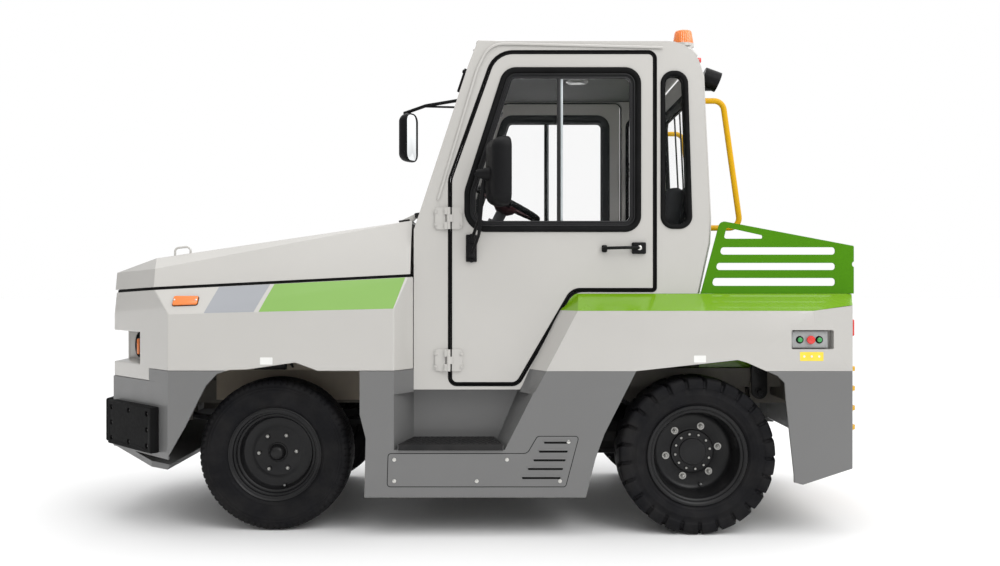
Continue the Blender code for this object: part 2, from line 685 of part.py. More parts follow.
def build_cab_front():
    frame = 0.035
    foot = FLOOR_Z + SEAT_GAP
    profile = [(CAB_FRONT_Y, foot), (CAB_FRONT_Y + SKIN, foot), (CAB_FRONT_Y + SKIN, 1.300),
               on_screen(0.03, frame), on_screen(1.0, frame), SCREEN_TOP, SCREEN_FOOT]
    panel = prism(profile, "X", -INNER_HALF, INNER_HALF)
    opening = tilted_window(0.530, 0.10, 0.955, -0.02, frame + 0.04, 0.060)
    solids = [panel]
    ear_y, ear_z = HOOD_PIVOT
    for side in (1, -1):
        for low, high in ((HOOD_EAR_X[0] - 0.015, HOOD_EAR_X[0] - SEAT_GAP),
                          (HOOD_EAR_X[1] + SEAT_GAP, HOOD_EAR_X[1] + 0.015)):
            solids.append(mirrored(rod((low, ear_y, ear_z), (high, ear_y, ear_z), HINGE_R), side))
            near = ear_y - 0.002
            arm = [(near, ear_z - HINGE_R), (-0.305, 1.383), (-0.305, 1.413), (near, ear_z + HINGE_R)]
            solids.append(mirrored(prism(arm, "X", low, high), side))
    make("cab_front_panel", WHITE, solids, [opening])
    share_gap = SEAT_GAP / SCREEN_RUN.length
    pane = tilted_window(0.530 - SEAT_GAP, 0.10 + share_gap, 0.955 - share_gap, 0.012, GLASS, 0.060 - SEAT_GAP)
    make("windshield", CLEAR, [pane])


REAR_BULGE = 0.020


def build_cab_back():
    outer = [(y + REAR_BULGE, z) for y, z in CAB_REAR] + [(0.9230 + REAR_BULGE, 2.02), (0.925, 2.075)]
    inner = [(y - 0.035, z) for y, z in reversed(outer)]
    inner[-1] = (inner[-1][0], CAB_REAR[0][1])
    panel = prism(outer + inner, "X", -INNER_HALF, INNER_HALF)
    hole = rounded([(-0.46, 1.42), (0.46, 1.42), (0.43, 1.97), (-0.43, 1.97)], 0.06)
    opening = prism(hole, "Y", 0.80, 1.10)
    make("cab_back_panel", WHITE, [panel], [opening])
    pane_hole = rounded([(-0.46 + SEAT_GAP, 1.42 + SEAT_GAP), (0.46 - SEAT_GAP, 1.42 + SEAT_GAP),
                         (0.43 - SEAT_GAP, 1.97 - SEAT_GAP), (-0.43 + SEAT_GAP, 1.97 - SEAT_GAP)], 0.06)
    lean = (CAB_REAR[3][0] - CAB_REAR[2][0]) / (CAB_REAR[3][1] - CAB_REAR[2][1])
    rings = []
    for depth in (0.016, 0.016 + GLASS):
        face = CAB_REAR[2][0] + REAR_BULGE - depth
        rings.append([(x, face + (z - CAB_REAR[2][1]) * lean, z) for x, z in pane_hole])
    make("rear_window", CLEAR, [loft(rings)])


def build_roof():
    front = SCREEN_TOP[0] + 0.045
    rear = 0.900
    slab = prism([(front, ROOF_Z - 0.035), (rear - 0.10, ROOF_Z - 0.035), (rear, ROOF_Z - 0.075),
                  (rear + 0.015, ROOF_Z - 0.050), (rear - 0.010, ROOF_Z - 0.022), (rear - 0.060, ROOF_Z - 0.004),
                  (rear - 0.120, ROOF_Z), (front, ROOF_Z)], "X", -INNER_HALF, INNER_HALF)
    header = prism([(SCREEN_TOP[0] + 0.0005, SCREEN_TOP[1] + 0.0010), (SCREEN_TOP[0] + 0.036, ROOF_Z + 0.024),
                    (SCREEN_TOP[0] + 0.175, ROOF_Z + 0.018), (SCREEN_TOP[0] + 0.185, ROOF_Z - 0.030),
                    (SCREEN_TOP[0] + 0.100, ROOF_Z - 0.035), (SCREEN_TOP[0] + 0.060, SCREEN_TOP[1] + 0.001)],
                   "X", -0.560, 0.560)
    cheeks = box((-INNER_HALF, INNER_HALF), (SCREEN_TOP[0] + 0.020, front + 0.02),
                 (SCREEN_TOP[1] + 0.010, ROOF_Z - 0.020))
    make("cab_roof", WHITE, [slab, header, cheeks])


def build_cab_floor():
    sheet = 0.014
    back = 0.9015
    profile = [(CAB_FRONT_Y, SILL_Z), (0.312, SILL_Z), (0.312, PLATFORM_Z - sheet), (back, PLATFORM_Z - sheet),
               (back, 1.036 - SEAT_GAP), (back - sheet, 1.036 - SEAT_GAP), (back - sheet, PLATFORM_Z),
               (0.298, PLATFORM_Z), (0.298, FLOOR_Z), (CAB_FRONT_Y, FLOOR_Z)]
    make("cab_floor", TRIM, [prism(profile, "X", -INNER_HALF, INNER_HALF)])


def column_point(distance):
    """A point on the steering column's axis, at a distance below the wheel."""
    x, y, z = WHEEL_CENTRE
    return (x, y - math.sin(COLUMN_TILT) * distance, z - math.cos(COLUMN_TILT) * distance)


def build_dashboard():
    front = CAB_FRONT_Y + SKIN + SEAT_GAP
    profile = [(front, 1.000), (-0.180, 1.000), (-0.120, 1.120), (-0.130, 1.230), (-0.200, 1.295), (front, 1.295)]
    desk = prism(profile, "X", -INNER_HALF + 0.004, INNER_HALF - 0.004)
    column = rod(column_point(0.45), column_point(0.022), 0.026)
    shroud = rod(column_point(0.40), column_point(0.10), 0.042)
    make("dashboard", TRIM, [desk, column, shroud])


def build_steering_wheel():
    axis = Vector((0, math.sin(COLUMN_TILT), math.cos(COLUMN_TILT)))
    centre = Vector(WHEEL_CENTRE)
    tube = 0.014
    profile = [(tube * math.sin(2 * math.pi * k / 8), STEERING_R - tube + tube * math.cos(2 * math.pi * k / 8))
               for k in range(8)]
    rim = turned(profile, centre, axis, ROUND)
    hub_profile = [(-0.0217, 0), (-0.0217, 0.024), (0.004, 0.036), (0.018, 0.030), (0.018, 0)]
    hub = turned(hub_profile, centre, axis, SMALL_ROUND)
    spokes = []
    for turn in (90, 210, 330):
        angle = math.radians(turn)
        direction = Vector((math.cos(angle), 0, 0)) + math.sin(angle) * axis.cross((1, 0, 0))
        spokes.append(rod(centre + direction * 0.02, centre + direction * (STEERING_R - tube), 0.008, 8))
    make("steering_wheel", PLASTIC, [rim, hub, *spokes])


SEAT_HALF = 0.240


def build_seats():
    for name, centre in (("driver_seat", 0.290), ("passenger_seat", -0.290)):
        span = (centre - SEAT_HALF, centre + SEAT_HALF)
        cushion = prism(rounded([(0.345, 0.960), (0.820, 0.935), (0.820, 1.050), (0.345, 1.090)], 0.035), "X", *span)
        back = prism(rounded([(0.730, 1.000), (0.830, 1.000), (0.875, 1.560), (0.800, 1.560)], 0.030), "X",
                     span[0] + 0.01, span[1] - 0.01)
        base = box((centre - 0.18, centre + 0.18), (0.40, 0.76), (PLATFORM_Z + SEAT_GAP, 0.975))
        make(name, SEAT, [cushion, back, base])


def build_doors():
    for name, side in (("left_door", 1), ("right_door", -1)):
        outer = CAB_HALF_WIDTH + DOOR_PROUD
        span = (outer - DOOR_THICK, outer)
        panel = prism(door_outline(-DOOR_GAP), "X", *span)
        window = prism(window_outline(0), "X", span[0] - 0.02, span[1] + 0.02)
        solids = [panel, *hinge_solids(False)]
        make(name, WHITE, [mirrored(s, side) for s in solids], [mirrored(window, side)])
        pane = prism(window_outline(SEAT_GAP), "X", outer - 0.026, outer - 0.026 + GLASS)
        make(f"{name}_glass", CLEAR, [mirrored(pane, side)])


def mirror_head(x, y, z):
    """A mirror's housing between three pairs of limits."""
    plan = rounded([(x[0], y[0] + 0.030), (x[0] + 0.030, y[0]), (x[1] - 0.030, y[0]), (x[1], y[0] + 0.030),
                    (x[1], y[1]), (x[0], y[1])], 0)
    middle = prism(plan, "Z", z[0] + 0.02, z[1] - 0.02)
    return [middle, prism([((a - (x[0] + x[1]) / 2) * 0.86 + (x[0] + x[1]) / 2, b) for a, b in plan], "Z", *z)]


def build_mirrors():
    outer = CAB_HALF_WIDTH + DOOR_PROUD + SEAT_GAP
    foot = box((outer, outer + 0.022), (-0.118, -0.074), (1.190, 1.305))
    arm_x = MIRROR_REACH - 0.095
    rods = [pipe([(outer + 0.012, -0.096, low), (arm_x - 0.01, -0.060, low + 0.09), (arm_x, -0.020, 1.570)], 0.0075,
                 0.03, 8) for low in (1.215, 1.280)]
    clamp = rod((arm_x, -0.045, 1.562), (arm_x, 0.010, 1.562), 0.024)
    head = mirror_head((arm_x - 0.095, MIRROR_REACH), (-0.030, 0.070), (1.425, 1.721))
    make("left_mirror", PLASTIC, [foot, *rods, clamp, *head])
    root = -(CAB_HALF_WIDTH + SEAT_GAP)
    plate = box((root - 0.014, root), (-0.045, 0.015), (2.085, 2.150))
    reach = -(MIRROR_REACH - 0.070)
    upper = pipe([(root - 0.0115, -0.020, 2.135), (root - 0.050, -0.190, 2.150), (-0.74, -0.400, 2.125),
                  (reach, -0.525, 2.085)], 0.010, 0.05, 8)
    lower = pipe([(root - 0.0085, -0.010, 2.100), (root - 0.060, -0.190, 2.108), (-0.745, -0.410, 2.121)], 0.006,
                 0.05, 8)
    ears = mirror_head((-MIRROR_REACH, -MIRROR_REACH + 0.150), (-0.560, -0.465), (1.800, 2.090))
    make("right_mirror", PLASTIC, [plate, upper, lower, *ears])


# ---------------------------------------------------------------- sides and rear body

RECESS_X = 0.534  # wall behind the step
STEP_THICK = 0.024
POST_REAR = (0.0447, 0.2296)  # rear post's outer edge at the step and at the paint line
POST_INNER = (0.0074, 0.160)


def build_skirts():
    top = STEP_Z - STEP_THICK
    for name, side in (("left_side_skirt", 1), ("right_side_skirt", -1)):
        front = FRONT_AXLE_Y + 1.227 * FRONT_TYRE_R - 0.02
        rear = REAR_AXLE_Y - 0.5 * REAR_TYRE_R
        low = prism([(front, SKIRT_Z), (rear, SKIRT_Z), (rear, top), (front, top)], "X", RECESS_X, HALF_WIDTH)
        post = prism([(RECESS_X, front), (HALF_WIDTH, front), (HALF_WIDTH, FENDER_END_Y), (RECESS_X, -0.360)],
                     "Z", top - 0.01, SILL_Z - SEAT_GAP)
        upper_post = prism([(CAB_HALF_WIDTH + SEAT_GAP, front), (HALF_WIDTH, front), (HALF_WIDTH, FENDER_END_Y),
                            (CAB_HALF_WIDTH + SEAT_GAP, CAB_FRONT_Y)], "Z", SILL_Z - 0.01, SPLIT_Z - SEAT_GAP)
        rear_low = [(RECESS_X, POST_INNER[0]), (HALF_WIDTH, POST_REAR[0]), (HALF_WIDTH, rear), (RECESS_X, rear)]
        share = (SILL_Z - STEP_Z) / (SPLIT_Z - STEP_Z)
        mid_in = POST_INNER[0] + (POST_INNER[1] - POST_INNER[0]) * share
        mid_out = POST_REAR[0] + (POST_REAR[1] - POST_REAR[0]) * share
        rear_mid = [(RECESS_X, mid_in), (HALF_WIDTH, mid_out), (HALF_WIDTH, rear), (RECESS_X, rear)]
        rear_post = loft([[(x, y, z) for x, y in ring]
                          for ring, z in ((rear_low, top - 0.01), (rear_mid, SILL_Z - SEAT_GAP))])
        cab = CAB_HALF_WIDTH + SEAT_GAP
        rings = []
        for share, z in (((SILL_Z - STEP_Z) / (SPLIT_Z - STEP_Z), SILL_Z - 0.01), (1.0, SPLIT_Z - SEAT_GAP)):
            outer = POST_REAR[0] + (POST_REAR[1] - POST_REAR[0]) * share
            inner = POST_INNER[0] + (POST_INNER[1] - POST_INNER[0]) * share
            rings.append([(cab, inner, z), (HALF_WIDTH, outer, z), (HALF_WIDTH, rear, z), (cab, rear, z)])
        rear_upper = loft(rings)
        back = box((RECESS_X - 0.010, RECESS_X), (front, rear), (SKIRT_Z, SILL_Z - SEAT_GAP))
        tread = prism(rounded([(RECESS_X + 0.001, -0.358), (HALF_WIDTH + 0.008, -0.409), (HALF_WIDTH + 0.008, 0.044),
                       (RECESS_X + 0.001, 0.003)], 0), "Z", top - 0.001, STEP_Z)
        solids = [low, post, rear_post, back, upper_post, rear_upper, tread]
        cuts = [arch_cutter(FRONT_ARCH, FRONT_CENTRE, FRONT_TYRE_R, 1),
                arch_cutter(REAR_ARCH, REAR_CENTRE, REAR_TYRE_R, 1)]
        make(name, GREY, [mirrored(s, side) for s in solids], [mirrored(s, side) for s in cuts])


QUARTER_END_Y = 1.547
TAIL_CORNER = 0.130  # how far the rear corners are cut back across the tail
TAIL_HALF = HALF_WIDTH - TAIL_CORNER
QUARTER_FRONT = [(0.161, 0.2296), (0.295, 0.365)]  # front edge's Y at the cab and at the skin, low and high


def quarter_path(z_side, z_rear, low):
    inner, outer = QUARTER_FRONT[0 if low else 1]
    return [(CAB_HALF_WIDTH + SEAT_GAP, inner, z_side), (HALF_WIDTH, outer, z_side), (HALF_WIDTH, 1.379, z_side),
            (HALF_WIDTH, QUARTER_END_Y, z_rear), (TAIL_HALF + SEAT_GAP, TAIL_Y, z_rear)]


def build_quarters():
    for name, side in (("left_rear_quarter", 1), ("right_rear_quarter", -1)):
        low = quarter_path(SPLIT_Z, SPLIT_Z, True)
        high = quarter_path(REAR_SHOULDER_Z, REAR_SHOULDER_Z + TAIL_RISE, False)
        upper = wall([low, high], SKIN)
        tail = [(HALF_WIDTH, REAR_AXLE_Y), (HALF_WIDTH, QUARTER_END_Y), (TAIL_HALF + SEAT_GAP, TAIL_Y)]
        lower = wall([[(x, y, z) for x, y in tail] for z in (0.20, SPLIT_Z - SEAT_GAP)], SKIN)
        departure = prism([(1.0, 0.05), (1.8, 0.05), (1.8, 0.370), (1.547, 0.2953), (1.335, 0.226), (1.30, 0.235),
                           (1.0, 0.235)], "X", 0.5, 0.8)
        cab = box((0.50, CAB_HALF_WIDTH + SEAT_GAP), (0.10, 0.60), (0.60, 1.10))
        arch = arch_cutter(REAR_ARCH, REAR_CENTRE, REAR_TYRE_R, 1)
        make(name, WHITE, [mirrored(upper, side)], [mirrored(s, side) for s in (arch, cab)])
        make(name.replace("quarter", "valance"), GREY, [mirrored(lower, side)],
             [mirrored(s, side) for s in (arch, departure)])


DECK_FLAT_HALF = CAB_HALF_WIDTH - 0.020  # half width of the deck's flat top at the tail


def deck_rings(sheet):
    """The deck cover's outer shell, or its hollow when a sheet thickness is given."""
    cab = CAB_HALF_WIDTH + SEAT_GAP
    drop = 0.05 if sheet else 0.0
    rear_edge = REAR_SHOULDER_Z + TAIL_RISE + SKIN * 0.16
    low = offset_path(quarter_path(REAR_SHOULDER_Z + SEAT_GAP - drop, rear_edge - drop, False), sheet)
    high = offset_path([(cab, 0.360, DECK_Z), (cab + 0.001, 0.375, DECK_Z), (cab + 0.001, 1.379, DECK_Z),
                        (cab + 0.001, QUARTER_END_Y, DECK_Z), (DECK_FLAT_HALF, TAIL_Y - 0.002, DECK_Z)],
                       sheet)
    high = [(x, y, z - sheet) for x, y, z in high]
    return [half + [(-x, y, z) for x, y, z in reversed(half)] for half in (low, high)]


def build_deck():
    """The deck cover: a flat plate whose long edges slope down to the side panels, on two webs."""
    cab = CAB_HALF_WIDTH + SEAT_GAP
    hollow = deck_rings(SKIN)
    low, high = hollow
    hollow[0] = [(x, y if y < 1.5 else TAIL_Y + 0.1, z) for x, y, z in low]
    cuts = [loft(hollow), box((-cab, cab), (0.10, 0.9015), (0.90, 1.10)),
            box((-DECK_FLAT_HALF, DECK_FLAT_HALF), (0.95, TAIL_Y + 0.1), (0.90, DECK_Z - SKIN))]
    web = box((0.370, 0.385), (0.960, QUARTER_END_Y - SEAT_GAP), (REAR_RAIL_Z[1] + SEAT_GAP, DECK_Z - 0.002))
    webs = [mirrored(web, side) for side in (1, -1)]
    make("rear_deck", GREEN, [loft(deck_rings(0.0))], cuts, webs)


def build_tail():
    depth = TAIL_Y - QUARTER_END_Y
    corner_wall = SKIN * depth / math.hypot(TAIL_CORNER, depth)  # width that the corner panels take up here
    half = TAIL_HALF - corner_wall
    plate = box((-half, half), (QUARTER_END_Y, TAIL_Y), (0.330, DECK_Z - SKIN - SEAT_GAP))
    lamps = []
    for side in (1, -1):
        lamps.append(mirrored(box((0.470, 0.580), (TAIL_Y - 0.002, TAIL_Y + 0.022), (0.860, 0.930)), side))
    make("tail_plate", GREY, [plate, *lamps])


HITCH_PLATES = (0.371, 0.4675, 0.566, 0.6645)


def build_hitch():
    """A stepped coupling: four level plates on a back block, with one pin through them all."""
    start = TAIL_Y + SEAT_GAP
    spine = box((-0.080, 0.080), (start, start + 0.055), (0.330, 0.700))
    plates = []
    for level in HITCH_PLATES:
        plan = rounded([(-0.070, start + 0.04), (0.070, start + 0.04), (0.070, REACH_Y), (-0.070, REACH_Y)],
                       [0, 0, 0.060, 0.060], 5)
        plates.append(prism(plan, "Z", level - 0.011, level + 0.011))
    pin_y = REACH_Y - 0.070
    pin = rod((0, pin_y, 0.340), (0, pin_y, 0.740), 0.016)
    loop = pipe([(0, pin_y, 0.735), (0, pin_y, 0.790), (0.060, pin_y, 0.790), (0.060, pin_y, 0.745)], 0.007, 0.02, 8)
    make("tow_hitch", YELLOW, [spine, *plates, pin, loop])


def build_guard():
    top_front = (1.003, 1.371)
    top_rear = (TAIL_Y + 0.004, 1.259)
    outline = rounded([(0.917, DECK_Z + SEAT_GAP), (TAIL_Y + 0.004, DECK_Z + SEAT_GAP), top_rear, top_front],
                      [0, 0, 0.006, 0.025])
    plate = prism(outline, "X", *GUARD_X)
    cuts = []
    for low, high, start in ((1.0827, 1.117, 0.9656), (1.1525, 1.1837, 0.983), (1.2206, 1.253, 1.0008)):
        slot = rounded([(start, low), (1.511, low), (1.511, high), (start + (high - low) * 0.25, high)], 0.013)
        cuts.append(prism(slot, "X", GUARD_X[0] - 0.01, GUARD_X[1] + 0.01))
    wedge = rounded([(1.019, 1.291), (1.190, 1.291), (1.190, 1.306), (1.040, 1.339), (1.030, 1.336)],
                    [0.008, 0.006, 0.006, 0.005, 0.005], 2)
    cuts.append(prism(wedge, "X", GUARD_X[0] - 0.01, GUARD_X[1] + 0.01))
    notch = rod((GUARD_X[0] - 0.01, TAIL_Y + 0.010, 1.178), (GUARD_X[1] + 0.01, TAIL_Y + 0.010, 1.178), 0.014)
    cuts.append(notch)
    flange = box((GUARD_X[0] - 0.045, GUARD_X[0] + 0.001), (0.985, TAIL_Y - 0.01),
                 (DECK_Z + SEAT_GAP, DECK_Z + 0.006))
    make("deck_guard", DARK_GREEN, [plate, flange], cuts)


def build_grab_rails():
    x = 0.500
    clear = REAR_BULGE + 0.0018
    high = slope(1.924, (CAB_REAR[3][1], CAB_REAR[3][0]), (2.020, 0.923)) + clear
    low = slope(1.3455, (CAB_REAR[1][1], CAB_REAR[1][0]), (CAB_REAR[2][1], CAB_REAR[2][0])) + clear
    for name, side in (("left_grab_rail", 1), ("right_grab_rail", -1)):
        tube = pipe([(x, high + 0.003, 1.924), (x, 1.044, 1.924), (x, 1.125, 1.3455), (x, low + 0.003, 1.3455)],
                    RAIL_TUBE_R, 0.045, 10)
        feet = []
        for y, z in ((high, 1.924), (low, 1.3455)):
            feet.append(rod((x, y, z), (x, y + 0.006, z), 0.026))
        make(name, YELLOW, [mirrored(s, side) for s in (tube, *feet)])


def build_lamps():
    wedge = [(0.800, ROOF_Z + 0.0005), (0.840, ROOF_Z - 0.0035), (0.892, ROOF_Z - 0.0220),
             (0.900, ROOF_Z + 0.012), (0.820, ROOF_Z + 0.012)]
    foot = prism(wedge, "X", 0.465, 0.535)
    make("beacon", AMBER, [foot, rod((0.500, 0.862, ROOF_Z + 0.008), (0.500, 0.866, ROOF_Z + 0.078), 0.048)])
    foot = 0.9470
    x = 0.430
    bracket = box((x - 0.015, x + 0.015), (foot, foot + 0.010), (1.935, 2.010))
    arm = box((x - 0.012, x + 0.012), (foot + 0.002, foot + 0.060), (1.985, 2.000))
    head = rod((x, foot + 0.020, 2.050), (x, foot + 0.088, 2.023), 0.044)
    post = box((x - 0.008, x + 0.008), (foot + 0.045, foot + 0.060), (1.99, 2.03))
    make("rear_work_light", PLASTIC, [bracket, arm, post, head])


# ---------------------------------------------------------------- running gear

BEAM_TOP = FRONT_TYRE_R + 0.035
FRONT_EYE = (0.515, 0.470)  # half length and height of the front spring's eyes
REAR_EYE = (0.332, 0.578)
EYE_R = 0.024


def leaf_spring(centre_y, eye, seat_z, span):
    """A stack of leaves, thick over the axle and one leaf thick at its eyes."""
    half, eye_z = eye
    upper, lower = [], []
    middle = seat_z + 0.056
    for share in (-1.0, -0.72, -0.4, -0.12, 0.12, 0.4, 0.72, 1.0):
        height = middle + (eye_z - middle) * share * share
        depth = 0.012 + 0.044 * max(0.0, 1 - max(abs(share) - 0.12, 0) / 0.75)
        upper.append((centre_y + share * half, height))
        lower.append((centre_y + share * half, height - depth))
    bar = prism(upper + lower[::-1], "X", span[0] + 0.002, span[1] - 0.002)
    ends = (centre_y - half, centre_y + half)
    eyes = [rod((span[0], y, eye_z), (span[1], y, eye_z), EYE_R, 12) for y in ends]
    return [bar, *eyes]


def hanger(y, eye_z, span, top, half=0.040):
    """An inverted U that holds a spring's eye between its cheeks."""
    inner = (span[0] - SEAT_GAP, span[1] + SEAT_GAP)
    crown = eye_z + EYE_R + 0.006
    profile = [(inner[0] - 0.012, eye_z - 0.032), (inner[0], eye_z - 0.032), (inner[0], crown), (inner[1], crown),
               (inner[1], eye_z - 0.032), (inner[1] + 0.012, eye_z - 0.032), (inner[1] + 0.012, top),
               (inner[0] - 0.012, top)]
    return prism(profile, "Y", y - half, y + half)


def build_chassis():
    solids = []
    for side in (1, -1):
        solids.append(mirrored(box(RAIL_X, (BULKHEAD_Y[0] - 0.05, QUARTER_END_Y - SEAT_GAP), RAIL_Z), side))
        solids.append(mirrored(box(REAR_RAIL_X, (0.420, QUARTER_END_Y - SEAT_GAP), REAR_RAIL_Z), side))
        for sign in (1, -1):
            y = FRONT_AXLE_Y + sign * FRONT_EYE[0]
            solids.append(mirrored(hanger(y, FRONT_EYE[1], RAIL_X, RAIL_Z[0] + 0.02), side))
            y = REAR_AXLE_Y + sign * REAR_EYE[0]
            solids.append(mirrored(hanger(y, REAR_EYE[1], REAR_RAIL_X, REAR_RAIL_Z[0] + 0.02, 0.035), side))
    wide = HALF_WIDTH - SKIN - SEAT_GAP
    inside = NOSE_FLAT - NOSE_Y + 0.0018 - (SKIN + SEAT_GAP) * math.sqrt(2)
    plan = [(-inside - BULKHEAD_Y[0], BULKHEAD_Y[0]), (inside + BULKHEAD_Y[0], BULKHEAD_Y[0]),
            (inside + BULKHEAD_Y[1], BULKHEAD_Y[1]), (-inside - BULKHEAD_Y[1], BULKHEAD_Y[1])]
    solids.append(prism(plan, "Z", 0.430, 0.655))
    for y in (-1.260, -0.600):
        solids.append(box((-RAIL_X[1], RAIL_X[1]), (y, y + 0.060), (0.600, BATTERY_Z[0] - SEAT_GAP)))
    skirt = RECESS_X - 0.010 - SEAT_GAP
    for y, z, reach in (((-0.520, -0.470), (0.545, SILL_Z - SEAT_GAP), skirt),
                        ((0.440, 0.480), (0.545, 0.690), REAR_RAIL_X[1] + 0.03),
                        ((0.130, 0.180), (0.545, SILL_Z - SEAT_GAP), skirt),
                        ((1.330, 1.400), (0.560, 0.660), wide)):
        solids.append(box((-reach, reach), y, z))
    make("chassis_frame", FRAME, solids)
    make("battery_pack", BLACK_METAL, [box((-0.400, 0.400), (-1.360, -0.440), BATTERY_Z)])
    for name, side in (("left_inner_arch", 1), ("right_inner_arch", -1)):
        plate = box((RAIL_X[1] + SEAT_GAP, RAIL_X[1] + 0.010), (-1.330, -0.580), (0.535, BATTERY_Z[0] - 0.001))
        make(name, BEIGE, [mirrored(plate, side)])


def build_front_axle():
    centre = FRONT_AXLE_Y
    beam = box((-KINGPIN_X + 0.01, KINGPIN_X - 0.01), (centre - 0.030, centre + 0.030),
               (FRONT_TYRE_R - 0.032, FRONT_TYRE_R + 0.032))
    solids = [beam]
    for side in (1, -1):
        eye = rod((KINGPIN_X, centre, FRONT_TYRE_R - 0.045), (KINGPIN_X, centre, FRONT_TYRE_R + 0.045), 0.034)
        pad = box((RAIL_X[0] - 0.01, RAIL_X[1] + 0.01), (centre - 0.055, centre + 0.055),
                  (FRONT_TYRE_R + 0.020, BEAM_TOP + 0.004))
        spring = leaf_spring(centre, FRONT_EYE, BEAM_TOP, RAIL_X)
        solids += [mirrored(s, side) for s in (eye, pad, *spring)]
    make("front_axle", BLACK_METAL, solids)


def build_rear_axle():
    centre = (0, REAR_AXLE_Y, REAR_TYRE_R)
    end = REAR_TRACK_X - 0.052
    housing = turned([(-0.150, 0), (-0.150, 0.075), (-0.105, 0.130), (0, 0.152), (0.105, 0.130), (0.150, 0.075),
                      (0.150, 0)], centre, (1, 0, 0), SMALL_ROUND)
    tube = rod((-end + 0.10, REAR_AXLE_Y, REAR_TYRE_R), (end - 0.10, REAR_AXLE_Y, REAR_TYRE_R), 0.058)
    motor = rod((0, REAR_AXLE_Y - 0.100, REAR_TYRE_R + 0.02), (0, REAR_AXLE_Y - 0.560, REAR_TYRE_R + 0.02), 0.128)
    solids = [housing, tube, motor]
    for side in (1, -1):
        drum = turned([(0, 0), (0, 0.150), (0.060, 0.150), (0.060, 0.085), (0.100, 0.080), (0.100, 0)],
                      (end - 0.100, REAR_AXLE_Y, REAR_TYRE_R), (1, 0, 0), SMALL_ROUND)
        pad = box((REAR_RAIL_X[0] - 0.008, REAR_RAIL_X[1] + 0.008), (REAR_AXLE_Y - 0.055, REAR_AXLE_Y + 0.055),
                  (REAR_TYRE_R, REAR_TYRE_R + 0.090))
        spring = leaf_spring(REAR_AXLE_Y, REAR_EYE, REAR_TYRE_R + 0.086, REAR_RAIL_X)
        solids += [mirrored(s, side) for s in (drum, pad, *spring)]
    make("rear_axle", BLACK_METAL, solids)


def build_steering_gear():
    centre = FRONT_AXLE_Y
    level = FRONT_TYRE_R
    arm_z = (level - 0.070, level - 0.0455)
    hub_back = FRONT_TRACK_X - 0.0305
    for name, side in (("left_knuckle", 1), ("right_knuckle", -1)):
        web = box((KINGPIN_X + 0.046, KINGPIN_X + 0.064), (centre - 0.045, centre + 0.045),
                  (level - 0.070, level + 0.070))
        fork = []
        for low, high in ((level + 0.0455, level + 0.070), arm_z):
            fork.append(box((KINGPIN_X, KINGPIN_X + 0.062), (centre - 0.034, centre + 0.034), (low, high)))
            fork.append(rod((KINGPIN_X, centre, low), (KINGPIN_X, centre, high), 0.034))
        spindle = rod((KINGPIN_X + 0.05, centre, level), (hub_back, centre, level), 0.036)
        arm = box((KINGPIN_X - 0.018, KINGPIN_X + 0.018), (centre, centre + STEER_ARM), arm_z)
        eye = rod((KINGPIN_X, centre + STEER_ARM, arm_z[0]), (KINGPIN_X, centre + STEER_ARM, arm_z[1]), 0.018)
        make(name, BLACK_METAL, [mirrored(s, side) for s in (web, *fork, spindle, arm, eye)])
    rod_z = arm_z[0] - 0.016
    bar = rod((-KINGPIN_X, centre + STEER_ARM, rod_z), (KINGPIN_X, centre + STEER_ARM, rod_z), TIE_ROD_R, 12)
    pin_y = centre + STEER_ARM
    ends = [rod((x, pin_y, rod_z - 0.014), (x, pin_y, arm_z[0] - SEAT_GAP), 0.017, 12)
            for x in (KINGPIN_X, -KINGPIN_X)]
    make("tie_rod", BLACK_METAL, [bar, *ends])


def tyre_profile(radius, width, rim, shoulder):
    """Half the tyre's section, mirrored: bead, sidewall, shoulder and a flat tread."""
    half = width / 2
    bead = half - 0.020
    side = [(bead, rim + 0.001), (bead, rim + 0.017), (half, rim + (radius - rim) * 0.50),
            (half - 0.004, radius - shoulder), (half - shoulder * 0.9, radius)]
    return side + [(-h, r) for h, r in reversed(side)]


def front_rim_profile():
    bead = FRONT_TYRE_W / 2 - 0.020 + 0.0005
    rim = FRONT_RIM_R
    return [(0.046, 0), (0.046, 0.026), (0.030, 0.040), (0.022, 0.042), (0.020, 0.075), (0.010, 0.090),
            (0.010, 0.140), (0.034, rim - 0.014), (bead + 0.004, rim - 0.006), (bead + 0.008, rim + 0.0155),
            (bead, rim + 0.0155), (bead, rim), (-bead, rim), (-bead, rim + 0.0155), (-bead - 0.008, rim + 0.0155),
            (-bead - 0.004, rim - 0.008), (0.020, rim - 0.022), (-0.002, 0.140), (-0.002, 0.052), (-0.030, 0.052),
            (-0.030, 0)]


def rear_rim_profile():
    bead = REAR_TYRE_W / 2 - 0.020 + 0.0005
    rim = REAR_RIM_R
    return [(-0.012, 0), (-0.012, 0.060), (-0.022, 0.064), (-0.024, 0.096), (-0.036, 0.100), (-0.036, rim - 0.046),
            (-0.020, rim - 0.026), (bead, rim - 0.020), (bead + 0.010, rim + 0.010), (bead + 0.006, rim + 0.0155),
            (bead, rim + 0.0155), (bead, rim), (-bead, rim), (-bead, rim + 0.0155), (-bead - 0.008, rim + 0.0155),
            (-bead - 0.004, rim - 0.010), (-0.044, rim - 0.030), (-0.050, 0.140), (-0.050, 0.052), (-0.0515, 0.052),
            (-0.0515, 0)]


